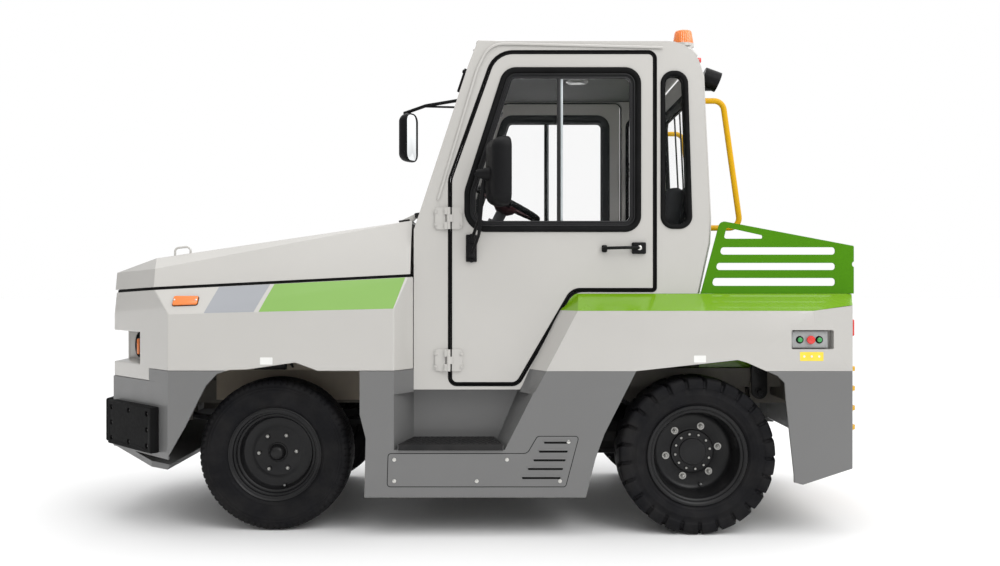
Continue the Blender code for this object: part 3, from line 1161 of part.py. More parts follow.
def build_wheels():
    corners = [
        ("front", FRONT_AXLE_Y, FRONT_TYRE_R, FRONT_TRACK_X, FRONT_TYRE_W, FRONT_RIM_R, front_rim_profile(), 0.030),
        ("rear", REAR_AXLE_Y, REAR_TYRE_R, REAR_TRACK_X, REAR_TYRE_W, REAR_RIM_R, rear_rim_profile(), 0.022),
    ]
    for end, y, radius, track, width, rim, profile, shoulder in corners:
        for word, side in (("left", 1), ("right", -1)):
            centre = (side * track, y, radius)
            axis = (side, 0, 0)
            make(f"{end}_{word}_tyre", TYRE, [turned(tyre_profile(radius, width, rim, shoulder), centre, axis, ROUND)])
            make(f"{end}_{word}_wheel", BLACK_METAL, [turned(profile, centre, axis, ROUND)])


# ---------------------------------------------------------------- the vehicle

build_chassis()
build_nose()
build_apron()
build_pads()
build_headlights()
build_hood()
build_cab_sides()
build_cab_front()
build_cab_back()
build_roof()
build_cab_floor()
build_dashboard()
build_steering_wheel()
build_seats()
build_doors()
build_mirrors()
build_skirts()
build_quarters()
build_deck()
build_tail()
build_hitch()
build_guard()
build_grab_rails()
build_lamps()
build_front_axle()
build_rear_axle()
build_steering_gear()
build_wheels()
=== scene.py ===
"""Looks for the electric airport baggage tug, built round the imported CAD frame. Metres, nose towards -Y."""

import json
import math

import bmesh
import bpy
from mathutils import Matrix, Vector
from mathutils.bvhtree import BVHTree

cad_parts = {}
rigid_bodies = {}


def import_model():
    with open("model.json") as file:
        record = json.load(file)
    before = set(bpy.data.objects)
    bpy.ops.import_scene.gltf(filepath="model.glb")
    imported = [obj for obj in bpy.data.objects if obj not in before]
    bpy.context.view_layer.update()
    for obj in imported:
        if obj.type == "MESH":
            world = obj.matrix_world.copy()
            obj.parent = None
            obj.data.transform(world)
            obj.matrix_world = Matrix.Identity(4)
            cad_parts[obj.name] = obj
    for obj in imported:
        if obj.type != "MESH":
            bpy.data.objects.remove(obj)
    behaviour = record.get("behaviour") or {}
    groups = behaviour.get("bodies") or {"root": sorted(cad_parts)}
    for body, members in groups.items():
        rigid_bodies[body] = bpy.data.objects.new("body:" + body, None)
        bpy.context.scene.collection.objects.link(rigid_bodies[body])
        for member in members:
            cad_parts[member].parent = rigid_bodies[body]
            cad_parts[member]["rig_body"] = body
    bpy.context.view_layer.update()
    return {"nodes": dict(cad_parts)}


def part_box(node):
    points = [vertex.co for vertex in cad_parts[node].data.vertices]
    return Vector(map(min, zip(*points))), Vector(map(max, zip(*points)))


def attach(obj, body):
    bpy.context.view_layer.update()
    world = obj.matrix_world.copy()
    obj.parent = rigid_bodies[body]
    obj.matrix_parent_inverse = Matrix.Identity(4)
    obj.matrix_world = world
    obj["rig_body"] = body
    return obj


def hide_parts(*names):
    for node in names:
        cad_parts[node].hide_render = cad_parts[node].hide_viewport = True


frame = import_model()
NODES = frame["nodes"]
SIDES = (("left", 1), ("right", -1))

# ---------------------------------------------------------------- places taken from the model

FRONT_R = sum(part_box("front_left_tyre"), Vector()).z / 2
REAR_R = sum(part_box("rear_left_tyre"), Vector()).z / 2
ROOF_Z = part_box("left_cab_side")[1].z

# ---------------------------------------------------------------- materials


class Nodes:
    """A small wrapper that adds shader nodes and links them."""

    def __init__(self, name):
        self.material = bpy.data.materials.new(name)
        self.material.use_nodes = True
        self.tree = self.material.node_tree
        self.shader = self.tree.nodes["Principled BSDF"]
        self.coords = self.add("ShaderNodeTexCoord").outputs["Object"]

    def add(self, kind, **values):
        node = self.tree.nodes.new(kind)
        for key, value in values.items():
            if hasattr(node, key):
                setattr(node, key, value)
            else:
                node.inputs[key.replace("_", " ")].default_value = value
        return node

    def link(self, out, into):
        self.tree.links.new(out, into)

    def noise(self, scale, detail=3.0):
        made = self.add("ShaderNodeTexNoise", Scale=scale, Detail=detail)
        self.link(self.coords, made.inputs["Vector"])
        return made.outputs["Fac"]

    def ramp(self, source, stops):
        made = self.add("ShaderNodeValToRGB")
        self.link(source, made.inputs["Fac"])
        elements = made.color_ramp.elements
        while len(elements) < len(stops):
            elements.new(0.5)
        for element, (place, colour) in zip(elements, stops):
            element.position = place
            element.color = (*colour, 1.0)
        return made.outputs["Color"]

    def span(self, source, low, high, from_low=0.3, from_high=0.7):
        made = self.add("ShaderNodeMapRange", From_Min=from_low, From_Max=from_high, To_Min=low, To_Max=high)
        self.link(source, made.inputs["Value"])
        return made.outputs["Result"]

    def bump(self, source, strength, distance):
        made = self.add("ShaderNodeBump", Strength=strength, Distance=distance)
        self.link(source, made.inputs["Height"])
        previous = self.shader.inputs["Normal"].links
        if previous:
            self.link(previous[0].from_socket, made.inputs["Normal"])
        self.link(made.outputs["Normal"], self.shader.inputs["Normal"])

    def set(self, **values):
        for key, value in values.items():
            self.shader.inputs[key.replace("_", " ")].default_value = value


def shade(colour, amount):
    return tuple(min(1.0, c * (1 + amount)) for c in colour)


def surface(name, colour, roughness, tone=0.04, rough_spread=0.05, tone_scale=1.6, grain=0.0,
    grain_scale=400.0, metallic=0.0, coat=0.0, dust=None, **extra):
    """A finish with broad tonal drift, uneven gloss and, where asked, grain and settled dust."""
    made = Nodes(name)
    drift = made.noise(tone_scale, 4.0)
    colour_out = made.ramp(drift, [(0.3, shade(colour, -tone)), (0.7, shade(colour, tone))])
    if dust:
        dust_colour, amount = dust
        patches = made.noise(9.0, 5.0)
        share = made.span(patches, 0.0, amount, 0.4, 0.75)
        mix = made.add("ShaderNodeMix", data_type="RGBA")
        made.link(share, mix.inputs["Factor"])
        made.link(colour_out, mix.inputs["A"])
        mix.inputs["B"].default_value = (*dust_colour, 1.0)
        colour_out = mix.outputs["Result"]
    made.link(colour_out, made.shader.inputs["Base Color"])
    gloss = made.noise(tone_scale * 7, 3.0)
    made.link(made.span(gloss, roughness - rough_spread, roughness + rough_spread),
        made.shader.inputs["Roughness"])
    made.set(Metallic=metallic, Coat_Weight=coat, Coat_Roughness=0.06)
    if grain:
        made.bump(made.noise(grain_scale, 2.0), grain, 0.001)
    made.set(**extra)
    return made.material


def lacquer(name, colour, roughness=0.32, coat=0.55, tone=0.025, **extra):
    """Sprayed body paint: faint orange peel under a clear coat."""
    return surface(name, colour, roughness, tone=tone, rough_spread=0.04, grain=0.055, grain_scale=95.0,
        coat=coat, **extra)


WHITE = lacquer("paint_white", (0.455, 0.443, 0.42))
GREY = lacquer("paint_grey", (0.136, 0.136, 0.135), 0.4, 0.2)
CASE_GREY = lacquer("case_grey", (0.34, 0.345, 0.345), 0.42, 0.2)
GREEN = lacquer("paint_green", (0.15, 0.315, 0.008), 0.25, 0.45, Specular_IOR_Level=0.3)
STRIPE_GREEN = lacquer("stripe_green", (0.2, 0.37, 0.085), 0.35, 0.15, Specular_IOR_Level=0.3)
STRIPE_GREY = lacquer("stripe_grey", (0.305, 0.315, 0.335), 0.35, 0.15, Specular_IOR_Level=0.3)
GUARD = lacquer("paint_guard", (0.058, 0.205, 0.001), 0.36, 0.0, Specular_IOR_Level=0.12)
YELLOW = lacquer("paint_yellow", (0.6, 0.33, 0.002), 0.36, 0.05, Specular_IOR_Level=0.15)
FRAME_PAINT = surface("paint_frame", (0.12, 0.11, 0.095), 0.6, tone=0.15, tone_scale=6, grain=0.2,
    grain_scale=160, dust=((0.25, 0.22, 0.18), 0.35))
BLACK_METAL = surface("black_metal", (0.009, 0.009, 0.0095), 0.42, tone=0.3, tone_scale=8, grain=0.12,
    grain_scale=220, dust=((0.05, 0.045, 0.04), 0.25), Specular_IOR_Level=0.25)
WHEEL_BLACK = surface("wheel_black", (0.007, 0.007, 0.0078), 0.36, tone=0.25, tone_scale=8, grain=0.1,
    grain_scale=260, dust=((0.03, 0.028, 0.025), 0.15), Specular_IOR_Level=0.25)
# This black is real rubber and also painted shade: the gap round the access panels, the vent openings, the
# keyway and the seat seam creases.
RUBBER_AND_SHADE = surface("rubber", (0.005, 0.005, 0.0052), 0.68, tone=0.25, tone_scale=10, grain=0.15,
    grain_scale=500, Specular_IOR_Level=0.1)
TYRE = surface("tyre_rubber", (0.0058, 0.0058, 0.007), 0.6, tone=0.22, tone_scale=12, rough_spread=0.08,
    grain=0.22, grain_scale=340, dust=((0.03, 0.028, 0.026), 0.35), Specular_IOR_Level=0.11)
PLASTIC = surface("black_plastic", (0.0052, 0.0052, 0.0058), 0.46, tone=0.2, tone_scale=8, grain=0.3,
    grain_scale=700, Specular_IOR_Level=0.13)
TREAD_BLACK = surface("step_tread", (0.009, 0.009, 0.0095), 0.55, tone=0.25, tone_scale=12, grain=0.25,
    grain_scale=500, dust=((0.035, 0.032, 0.03), 0.3), Specular_IOR_Level=0.25)
FRAME_BLACK = surface("window_frame_black", (0.008, 0.008, 0.0088), 0.35, tone=0.15, tone_scale=10,
    Specular_IOR_Level=0.3)
PANE_EDGE = surface("pane_edge", (0.42, 0.46, 0.47), 0.25, tone=0.08, tone_scale=20, coat=0.4)
TRIM = surface("cab_trim", (0.085, 0.085, 0.09), 0.62, tone=0.1, tone_scale=5, grain=0.35, grain_scale=600)
LINER = surface("headliner", (0.13, 0.13, 0.13), 0.85, tone=0.06, tone_scale=5, grain=0.5, grain_scale=800)
BEIGE = surface("beige_liner", (0.42, 0.36, 0.28), 0.55, tone=0.08, tone_scale=4, grain=0.12,
    grain_scale=120, dust=((0.25, 0.21, 0.17), 0.3))
ZINC = surface("zinc_bolt", (0.62, 0.61, 0.58), 0.3, tone=0.12, tone_scale=30, grain=0.1, grain_scale=300,
    metallic=1.0)
NUT_STEEL = surface("plated_nut", (0.34, 0.335, 0.32), 0.38, tone=0.2, tone_scale=40, grain=0.1,
    grain_scale=300, metallic=1.0)
SEAT_CLOTH = surface("seat_cloth", (0.03, 0.03, 0.033), 0.85, tone=0.15, tone_scale=12, grain=0.5,
    grain_scale=900)
BARE_STEEL = surface("dark_steel", (0.2, 0.2, 0.2), 0.38, tone=0.15, tone_scale=20, grain=0.1,
    grain_scale=300, metallic=1.0)
MIRROR = surface("mirror_glass", (0.85, 0.87, 0.88), 0.03, tone=0.01, rough_spread=0.01, metallic=1.0)
AMBER = surface("amber_lens", (0.95, 0.22, 0.008), 0.14, tone=0.05, coat=1.0, Transmission_Weight=0.25)
RED = surface("red_button", (0.62, 0.02, 0.015), 0.28, tone=0.05, coat=0.6)
BUTTON_GREEN = surface("green_button", (0.02, 0.3, 0.06), 0.28, tone=0.05, coat=0.6)
LENS = surface("clear_lens", (0.75, 0.76, 0.74), 0.07, tone=0.02, rough_spread=0.02, coat=1.0,
    Transmission_Weight=0.7)
LABEL_YELLOW = surface("blank_label_yellow", (0.8, 0.62, 0.05), 0.45, tone=0.06, tone_scale=20)
LABEL_WHITE = surface("blank_label_white", (0.72, 0.72, 0.7), 0.4, tone=0.04, tone_scale=20)
MAROON = surface("wheel_grip", (0.055, 0.008, 0.012), 0.5, tone=0.2, tone_scale=20, grain=0.35,
    grain_scale=900)


def window_glass(name, tint, share):
    made = Nodes(name)
    smear = made.noise(3.0, 3.0)
    made.link(made.span(smear, 0.015, 0.05), made.shader.inputs["Roughness"])
    made.set(Base_Color=(*tint, 1.0), IOR=1.45, Alpha=share, Specular_IOR_Level=0.6)
    return made.material


GLASS = window_glass("window_glass", (0.1, 0.12, 0.12), 0.018)

# ---------------------------------------------------------------- mesh tools


def join(*solids):
    points, faces = [], []
    for more_points, more_faces in solids:
        start = len(points)
        points.extend(more_points)
        faces.extend(tuple(start + i for i in face) for face in more_faces)
    return points, faces


def mirrored(solid, side=-1):
    return [(side * x, y, z) for x, y, z in solid[0]], solid[1]


def placed(name, data):
    made = bpy.data.objects.new(name, data)
    bpy.context.scene.collection.objects.link(made)
    return made


def solid_object(name, solid):
    """An object from (points, faces), with its faces turned outward."""
    mesh = bpy.data.meshes.new(name)
    mesh.from_pydata([tuple(p) for p in solid[0]], [], solid[1])
    work = bmesh.new()
    work.from_mesh(mesh)
    bmesh.ops.recalc_face_normals(work, faces=work.faces)
    work.to_mesh(mesh)
    work.free()
    return placed(name, mesh)


def applied_modifiers(made):
    """The object's mesh with its modifiers applied and none left."""
    graph = bpy.context.evaluated_depsgraph_get()
    made.data = bpy.data.meshes.new_from_object(made.evaluated_get(graph))
    made.modifiers.clear()


def piece(name, solid, material, body="chassis", crease=32.0, replaces=()):
    """A visible piece from (points, faces), riding on a body."""
    made = solid_object(name, solid)
    made.data.shade_smooth()
    made.data.set_sharp_from_angle(angle=math.radians(crease))
    made.data.materials.append(material)
    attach(made, body)
    if replaces:
        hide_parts(*replaces)
    return made


def grid(rows, closed_around=True, closed_along=False, caps=False):
    """Faces over rows of points, all with the same count."""
    count = len(rows[0])
    points = [p for row in rows for p in row]
    faces = []
    for r in range(len(rows) if closed_along else len(rows) - 1):
        low, high = r * count, (r + 1) % len(rows) * count
        for i in range(count if closed_around else count - 1):
            j = (i + 1) % count
            faces.append((low + i, low + j, high + j, high + i))
    if caps:
        faces.append(tuple(range(count)))
        faces.append(tuple(range(len(points) - count, len(points))))
    return points, faces


def axes_for(direction):
    along = Vector(direction).normalized()
    across = Vector((0, 0, 1)) if abs(along.z) < 0.9 else Vector((1, 0, 0))
    across = (across - along * across.dot(along)).normalized()
    return along, across, along.cross(across)


def turned(profile, centre, axis, steps):
    """Rings round an axis, one for each (distance along the axis, radius)."""
    along, across, other = axes_for(axis)
    centre = Vector(centre)
    turns = [2 * math.pi * i / steps for i in range(steps)]
    return [[centre + along * distance + (across * math.cos(t) + other * math.sin(t)) * max(radius, 1e-5)
        for t in turns] for distance, radius in profile]


def lathe(profile, centre, axis, steps=64):
    """A closed surface of revolution; radius 0 closes an end."""
    return grid(turned(profile, centre, axis, steps), caps=True)


def ring_lathe(profile, centre, axis, steps=64):
    """The same for a closed section that doesn't meet the axis."""
    return grid(turned(profile, centre, axis, steps), closed_along=True)


def rounded(corners, radii, steps=5, closed=True, flat=1.5):
    """Corners rounded by arcs. A corner whose half angle is over flat stays as it is."""
    if not isinstance(radii, (list, tuple)):
        radii = [radii] * len(corners)
    made = []
    for i, corner in enumerate(corners):
        here = Vector(corner)
        if radii[i] == 0 or (not closed and i in (0, len(corners) - 1)):
            made.append(tuple(here))
            continue
        back = Vector(corners[i - 1]) - here
        ahead = Vector(corners[(i + 1) % len(corners)]) - here
        room = 0.49 * min(back.length, ahead.length)
        back.normalize()
        ahead.normalize()
        half = back.angle(ahead) / 2
        if half > flat:
            made.append(tuple(here))
            continue
        reach = min(radii[i] / math.tan(half), room)
        radius = reach * math.tan(half)
        centre = here + (back + ahead).normalized() * (radius / math.sin(half))
        first = here + back * reach - centre
        last = here + ahead * reach - centre
        for k in range(steps + 1):
            made.append(tuple(centre + first.lerp(last, k / steps).normalized() * radius))
    return made


def grown(corners, distance):
    spread = []
    for i, here in enumerate(corners):
        before = Vector(here) - Vector(corners[i - 1])
        after = Vector(corners[(i + 1) % len(corners)]) - Vector(here)
        one = Vector((before.y, -before.x)).normalized()
        two = Vector((after.y, -after.x)).normalized()
        mitre = (one + two) / (1 + one.dot(two))
        spread.append((here[0] + mitre.x * distance, here[1] + mitre.y * distance))
    return spread


ORDER = {"X": lambda a, b, c: (c, a, b), "Y": lambda a, b, c: (a, c, b), "Z": lambda a, b, c: (a, b, c)}


def slab(outline, axis, low, high, bevel=0.0, steps=2):
    """An outline pushed along an axis, with its rim edges rounded."""
    place = ORDER[axis]
    if not bevel:
        return grid([[place(a, b, c) for a, b in outline] for c in (low, high)], caps=True)
    rows = []
    turning = sum(a[0] * b[1] - b[0] * a[1] for a, b in zip(outline, outline[1:] + outline[:1]))
    sign = 1 if turning > 0 else -1
    for end, inward in ((low, 1), (high, -1)):
        marks = [(bevel * (1 - math.sin(k / steps * math.pi / 2)),
            bevel * (1 - math.cos(k / steps * math.pi / 2))) for k in range(steps + 1)]
        if inward < 0:
            marks = marks[::-1]
        for shrink, rise in marks:
            shape = grown(outline, -sign * shrink) if shrink else outline
            rows.append([place(a, b, end + inward * rise) for a, b in shape])
    return grid(rows, caps=True)


def block(x, y, z, bevel=0.003, steps=2):
    """A box between limits with every edge rounded."""
    work = bmesh.new()
    bmesh.ops.create_cube(work, size=1.0)
    size = Vector((x[1] - x[0], y[1] - y[0], z[1] - z[0]))
    middle = Vector((x[0] + x[1], y[0] + y[1], z[0] + z[1])) / 2
    for v in work.verts:
        v.co = Vector((v.co.x * size.x, v.co.y * size.y, v.co.z * size.z)) + middle
    width = min(bevel, 0.45 * min(size))
    if width > 0:
        bmesh.ops.bevel(work, geom=work.edges[:], offset=width, segments=steps, profile=0.5, affect="EDGES")
    return taken(work)


def taken(work):
    work.verts.index_update()
    made = [tuple(v.co) for v in work.verts], [tuple(v.index for v in f.verts) for f in work.faces]
    work.free()
    return made


def moved(solid, matrix):
    return [tuple(matrix @ Vector(p)) for p in solid[0]], solid[1]


def turned_to(direction, place=(0, 0, 0)):
    """A matrix that lays local +Z along a direction, at a place."""
    along, across, other = axes_for(direction)
    turn = Matrix((other, across, along)).transposed()
    return Matrix.Translation(Vector(place)) @ turn.to_4x4()


def smooth_path(route, bend, steps=6, closed=False):
    return rounded(route, bend, steps, closed, flat=1.55)


def sweep(path, section, closed=False, up=None):
    """A section of (across, up) points carried along a path. With up given, the section doesn't twist."""
    path = [Vector(p) for p in path]
    count = len(path)
    rows, side = [], None
    for i, point in enumerate(path):
        before = path[i - 1] if closed or i else path[0]
        after = path[(i + 1) % count] if closed or i < count - 1 else path[-1]
        ahead = (after - before).normalized()
        if up is not None:
            top = Vector(up)
            side = ahead.cross(top).normalized()
        else:
            side = axes_for(ahead)[1] if side is None else (side - ahead * side.dot(ahead)).normalized()
            top = side.cross(ahead)
        stretch = 1.0
        if up is not None:
            first = (point - before).normalized() if point != before else ahead
            stretch = 1 / max(0.5, abs(first.dot(ahead)))
        rows.append([point + side * (a * stretch) + top * b for a, b in section])
    return grid(rows, closed_along=closed, caps=not closed)


def circle(radius, steps=12):
    return [(radius * math.cos(2 * math.pi * i / steps), radius * math.sin(2 * math.pi * i / steps))
        for i in range(steps)]


def tube(route, radius, bend=0.03, steps=14, closed=False):
    return sweep(smooth_path(route, bend, 8, closed), circle(radius, steps), closed)


def hexagon(place, direction, across_flats, height):
    """A nut or bolt head standing on a point, with its top corners chamfered."""
    radius = across_flats / math.sqrt(3)
    rows = []
    for level, share in ((0, 1.0), (height * 0.8, 1.0), (height, 0.86)):
        rows.append([(radius * share * math.cos(math.pi / 3 * i),
            radius * share * math.sin(math.pi / 3 * i), level) for i in range(6)])
    return moved(grid(rows, caps=True), turned_to(direction, place))


def bolt(place, direction, size=0.013, washer=True, stud=0.0):
    """A hex bolt on a washer, with its stud showing where a length is given."""
    along = Vector(direction).normalized()
    place = Vector(place)
    solids = []
    if washer:
        solids.append(lathe([(0, 0), (0, size * 0.95), (size * 0.13, size * 0.92), (size * 0.15, 0)],
            place, along, 20))
    solids.append(hexagon(place + along * size * 0.12, along, size, size * 0.62))
    if stud:
        solids.append(lathe([(0, size * 0.3), (stud - 0.001, size * 0.3), (stud, size * 0.22), (stud, 0)],
            place, along, 14))
    return join(*solids)


# ---------------------------------------------------------------- CAD panels with rounded edges


SKINS = {}
SOFT_ANGLE = 24.0  # edges sharper than this are rounded, in degrees


def softened(node, material, width=0.004):
    """A copy of a CAD node with its edges rounded, standing for that node."""
    source = NODES[node]
    work = bmesh.new()
    work.from_mesh(source.data)
    bmesh.ops.remove_doubles(work, verts=work.verts, dist=0.00002)
    bmesh.ops.dissolve_limit(work, angle_limit=math.radians(0.6), verts=work.verts, edges=work.edges)
    mesh = bpy.data.meshes.new(node + "_skin")
    work.to_mesh(mesh)
    work.free()
    made = placed(node + "_skin", mesh)
    rim = made.modifiers.new("rim", "BEVEL")
    rim.width = width
    rim.segments = 3
    rim.limit_method = "ANGLE"
    rim.angle_limit = math.radians(SOFT_ANGLE)
    rim.use_clamp_overlap = True
    rim.loop_slide = True
    applied_modifiers(made)
    made.data.shade_smooth()
    made.data.set_sharp_from_angle(angle=math.radians(40))
    flat = made.modifiers.new("flat", "WEIGHTED_NORMAL")
    flat.keep_sharp = True
    applied_modifiers(made)
    made.data.materials.clear()
    made.data.materials.append(material)
    SKINS[node] = made
    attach(made, NODES[node]["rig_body"])
    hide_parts(node)
    return made


def repaint(node, material):
    NODES[node].data.materials.clear()
    NODES[node].data.materials.append(material)


PAINTS = {
    FRAME_PAINT: ["chassis_frame"],
    BLACK_METAL: ["battery_pack", "front_axle", "rear_axle", "left_knuckle", "right_knuckle", "tie_rod"],
    BEIGE: ["left_headlight", "right_headlight", "left_inner_arch", "right_inner_arch"],
    TRIM: ["cab_floor", "dashboard", "driver_seat", "passenger_seat"],
    GLASS: ["left_quarter_glass", "right_quarter_glass", "windshield", "rear_window", "left_door_glass",
        "right_door_glass"],
    RUBBER_AND_SHADE: ["front_bumper_pad", "left_bumper_pad", "right_bumper_pad"],
    MAROON: ["steering_wheel"],
    YELLOW: ["tow_hitch", "left_grab_rail", "right_grab_rail"],
    AMBER: ["beacon"],
    PLASTIC: ["rear_work_light", "left_mirror", "right_mirror"],
    TYRE: ["front_left_tyre", "front_right_tyre", "rear_left_tyre", "rear_right_tyre"],
    WHEEL_BLACK: ["front_left_wheel", "front_right_wheel", "rear_left_wheel", "rear_right_wheel"],
}
for material, nodes in PAINTS.items():
    for node in nodes:
        repaint(node, material)

for node, material, width in (
    ("front_cowl", WHITE, 0.005), ("front_apron", GREY, 0.005), ("hood", WHITE, 0.007),
    ("left_cab_side", WHITE, 0.003), ("right_cab_side", WHITE, 0.003), ("cab_front_panel", WHITE, 0.004),
    ("cab_back_panel", WHITE, 0.006), ("cab_roof", WHITE, 0.006), ("left_side_skirt", GREY, 0.004),
    ("right_side_skirt", GREY, 0.004), ("right_rear_quarter", WHITE, 0.004),
    ("rear_deck", GREEN, 0.004), ("tail_plate", GREY, 0.004), ("deck_guard", GUARD, 0.002),
    ("left_door", WHITE, 0.003), ("right_door", WHITE, 0.003), ("left_rear_valance", GREY, 0.004),
    ("right_rear_valance", GREY, 0.004), ("tow_hitch", YELLOW, 0.002),
):
    softened(node, material, width)


def carve(made, crease, *solids):
    """Cuts closed solids out of a piece."""
    for solid in solids:
        tool = solid_object(made.name + "_cut", solid)
        cut = made.modifiers.new("cut", "BOOLEAN")
        cut.operation = "DIFFERENCE"
        cut.object = tool
        applied_modifiers(made)
        bpy.data.objects.remove(tool)
    made.data.shade_smooth()
    made.data.set_sharp_from_angle(angle=math.radians(crease))


TREES = {}


def on_panel(node, side, y, z):
    """The point and outward normal where a line across the vehicle meets a panel's outer face."""
    if node not in TREES:
        work = bmesh.new()
        work.from_mesh(SKINS[node].data)
        TREES[node] = BVHTree.FromBMesh(work)
        work.free()
    spot, normal, _, _ = TREES[node].ray_cast(Vector((side * 2.0, y, z)), Vector((-side, 0, 0)))
    return spot, normal


def applied(node, side, outline, layers):
    """A thin solid laid on a panel: layers are (growth of the outline, height over the panel)."""
    rows = []
    for growth, height in layers:
        row = []
        for y, z in grown(outline, growth):
            spot, normal = on_panel(node, side, y, z)
            row.append(spot + normal * height)
        rows.append(row)
    return grid(rows, caps=True)


STICKER = ((0.0, -0.0004), (0.0, 0.0004))


def laid_strip(node, side, low_edge, high_edge, columns, rows, height=0.0005):
    """A decal that follows a panel. Its edges are pairs of (Y, Z), and its face is a fine grid."""
    faces_out, faces_in = [], []
    for r in range(rows + 1):
        line_out, line_in = [], []
        for c in range(columns + 1):
            low = Vector(low_edge[0]).lerp(Vector(low_edge[1]), c / columns)
            high = Vector(high_edge[0]).lerp(Vector(high_edge[1]), c / columns)
            y, z = low.lerp(high, r / rows)
            spot, normal = on_panel(node, side, y, z)
            line_out.append(spot + normal * height)
            line_in.append(spot - normal * height)
        faces_out.append(line_out)
        faces_in.append(line_in)
    wide = columns + 1
    front = grid(faces_out, closed_around=False)
    back = grid(faces_in, closed_around=False)
    points, faces = join(front, back)
    start = len(front[0])
    rim = list(range(wide))
    rim += [r * wide + columns for r in range(1, rows + 1)]
    rim += [rows * wide + c for c in range(columns - 1, -1, -1)]
    rim += [r * wide for r in range(rows - 1, 0, -1)]
    for i, first in enumerate(rim):
        second = rim[(i + 1) % len(rim)]
        faces.append((first, second, start + second, start + first))
    return points, faces


def frame_ring(outline, axis, section):
    """A closed section of (outward offset, place along the axis) carried round an outline."""
    place = ORDER[axis]
    return grid([[place(a, b, depth) for a, b in grown(outline, out)] for out, depth in section],
        closed_along=True)


def rectangle(y, z, radius=0.004, steps=4):
    return rounded([(y[0], z[0]), (y[1], z[0]), (y[1], z[1]), (y[0], z[1])], radius, steps)


# ---------------------------------------------------------------- tyres and wheels


def section_normals(section):
    normals = []
    for i in range(len(section)):
        before = section[max(i - 1, 0)]
        after = section[min(i + 1, len(section) - 1)]
        run = Vector((after[0] - before[0], after[1] - before[1])).normalized()
        normals.append((-run.y, run.x))
    return normals


def both_halves(half):
    """A tyre's section from its inner bead over the tread to its outer bead; half starts at the crown."""
    return [(-x, r) for x, r in reversed(half)] + [(x, r) for x, r in half if x > 0]


def tyre(node, half, carving, steps, twist):
    """A tyre whose tread is cut inward: carving gives the depth at a section point and a step round it."""
    centre = sum(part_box(node), Vector()) / 2
    side = 1 if centre.x > 0 else -1
    section = both_halves(half)
    rows = []
    for (x, r), (nx, nr) in zip(section, section_normals(section)):
        row = []
        for k in range(steps):
            turn = 2 * math.pi * k / steps + twist * abs(x)
            depth = carving(x, r, k)
            across, out = x + nx * -depth, r - nr * depth
            row.append((centre.x + side * across, centre.y + out * math.sin(turn),
                centre.z + out * math.cos(turn)))
        rows.append(row)
    return piece(node + "_carcass", grid(rows, closed_along=True), TYRE, NODES[node]["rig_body"], crease=50,
        replaces=(node,))


def fade(value, low, high):
    share = max(0.0, min(1.0, (value - low) / (high - low)))
    return share * share * (3 - 2 * share)


RIB_X = 0.03  # the outer two of the front tyre's three grooves
GROOVE_HALF = 0.0035
FRONT_PITCHES, FRONT_STEPS_EACH = 72, 7


def front_half():
    crown = [0, 0.0033, 0.0037, 0.01, 0.018, 0.0263, 0.0267, 0.03, 0.0333, 0.0337, 0.044, 0.056, 0.064,
        0.07]
    half = [(x, FRONT_R - 0.004 * (x / 0.07) ** 2) for x in crown]
    half += [(0.076, FRONT_R - 0.0062), (0.082, FRONT_R - 0.0105), (0.0868, FRONT_R - 0.0165),
        (0.0893, FRONT_R - 0.0225), (0.0885, FRONT_R - 0.024), (0.0897, FRONT_R - 0.03)]
    for radius, out in ((0.298, 0.0908), (0.2962, 0.0921), (0.2944, 0.0912), (0.286, 0.0929),
        (0.2842, 0.094), (0.2824, 0.0934), (0.262, 0.0946), (0.244, 0.0938), (0.23, 0.0915), (0.224, 0.09),
        (0.2215, 0.0912), (0.2185, 0.09), (0.214, 0.0855), (0.2085, 0.0812), (0.202, 0.0785),
        (0.1935, 0.0775)):
        half.append((out, radius))
    return half


def front_carving(x, r, k):
    across = abs(x)
    if min(across, abs(across - RIB_X)) < GROOVE_HALF:
        return 0.008
    notch = k % FRONT_STEPS_EACH < 2
    if across > 0.06 and r > FRONT_R - 0.0235 and notch:
        return 0.0035
    rib_cut = (k // FRONT_STEPS_EACH) % 2 == 0 and k % FRONT_STEPS_EACH == 3
    return 0.002 if rib_cut and r > FRONT_R - 0.002 and across > 0.008 else 0.0


LUGS, LUG_STEPS = 25, 24
LUG_FOOT = 0.05  # how far the lugs run down the sidewall


def rear_half():
    crown = [0, 0.012, 0.02, 0.028, 0.04, 0.054, 0.068, 0.08, 0.09]
    half = [(x, REAR_R - 0.003 * (x / 0.09) ** 2) for x in crown]
    half += [(0.0965, REAR_R - 0.005), (0.102, REAR_R - 0.009), (0.106, REAR_R - 0.015),
        (0.108, REAR_R - 0.022), (0.109, REAR_R - 0.034), (0.1096, REAR_R - 0.045),
        (0.109, REAR_R - LUG_FOOT + 0.001), (0.106, REAR_R - LUG_FOOT - 0.002)]
    for radius, out in ((0.282, 0.1064), (0.268, 0.1072), (0.2655, 0.1084), (0.263, 0.1074),
        (0.252, 0.1064), (0.243, 0.104), (0.236, 0.101), (0.2335, 0.1018), (0.2305, 0.1), (0.226, 0.0962),
        (0.221, 0.0925), (0.2135, 0.0905), (0.2045, 0.09)):
        half.append((out, radius))
    return half


def rear_carving(x, r, k):
    place = (k + (LUG_STEPS // 2 if x < 0 else 0)) % LUG_STEPS
    edge = min(place, LUG_STEPS - place)
    down = max(0.0, REAR_R - 0.003 - r)
    if down > LUG_FOOT:
        return 0.0
    share = 1.0 - fade(edge, 1.6, 3.2)
    deep = 0.015 - 0.008 * fade(down, 0.01, LUG_FOOT)
    return deep * share * fade(abs(x), 0.016, 0.03)


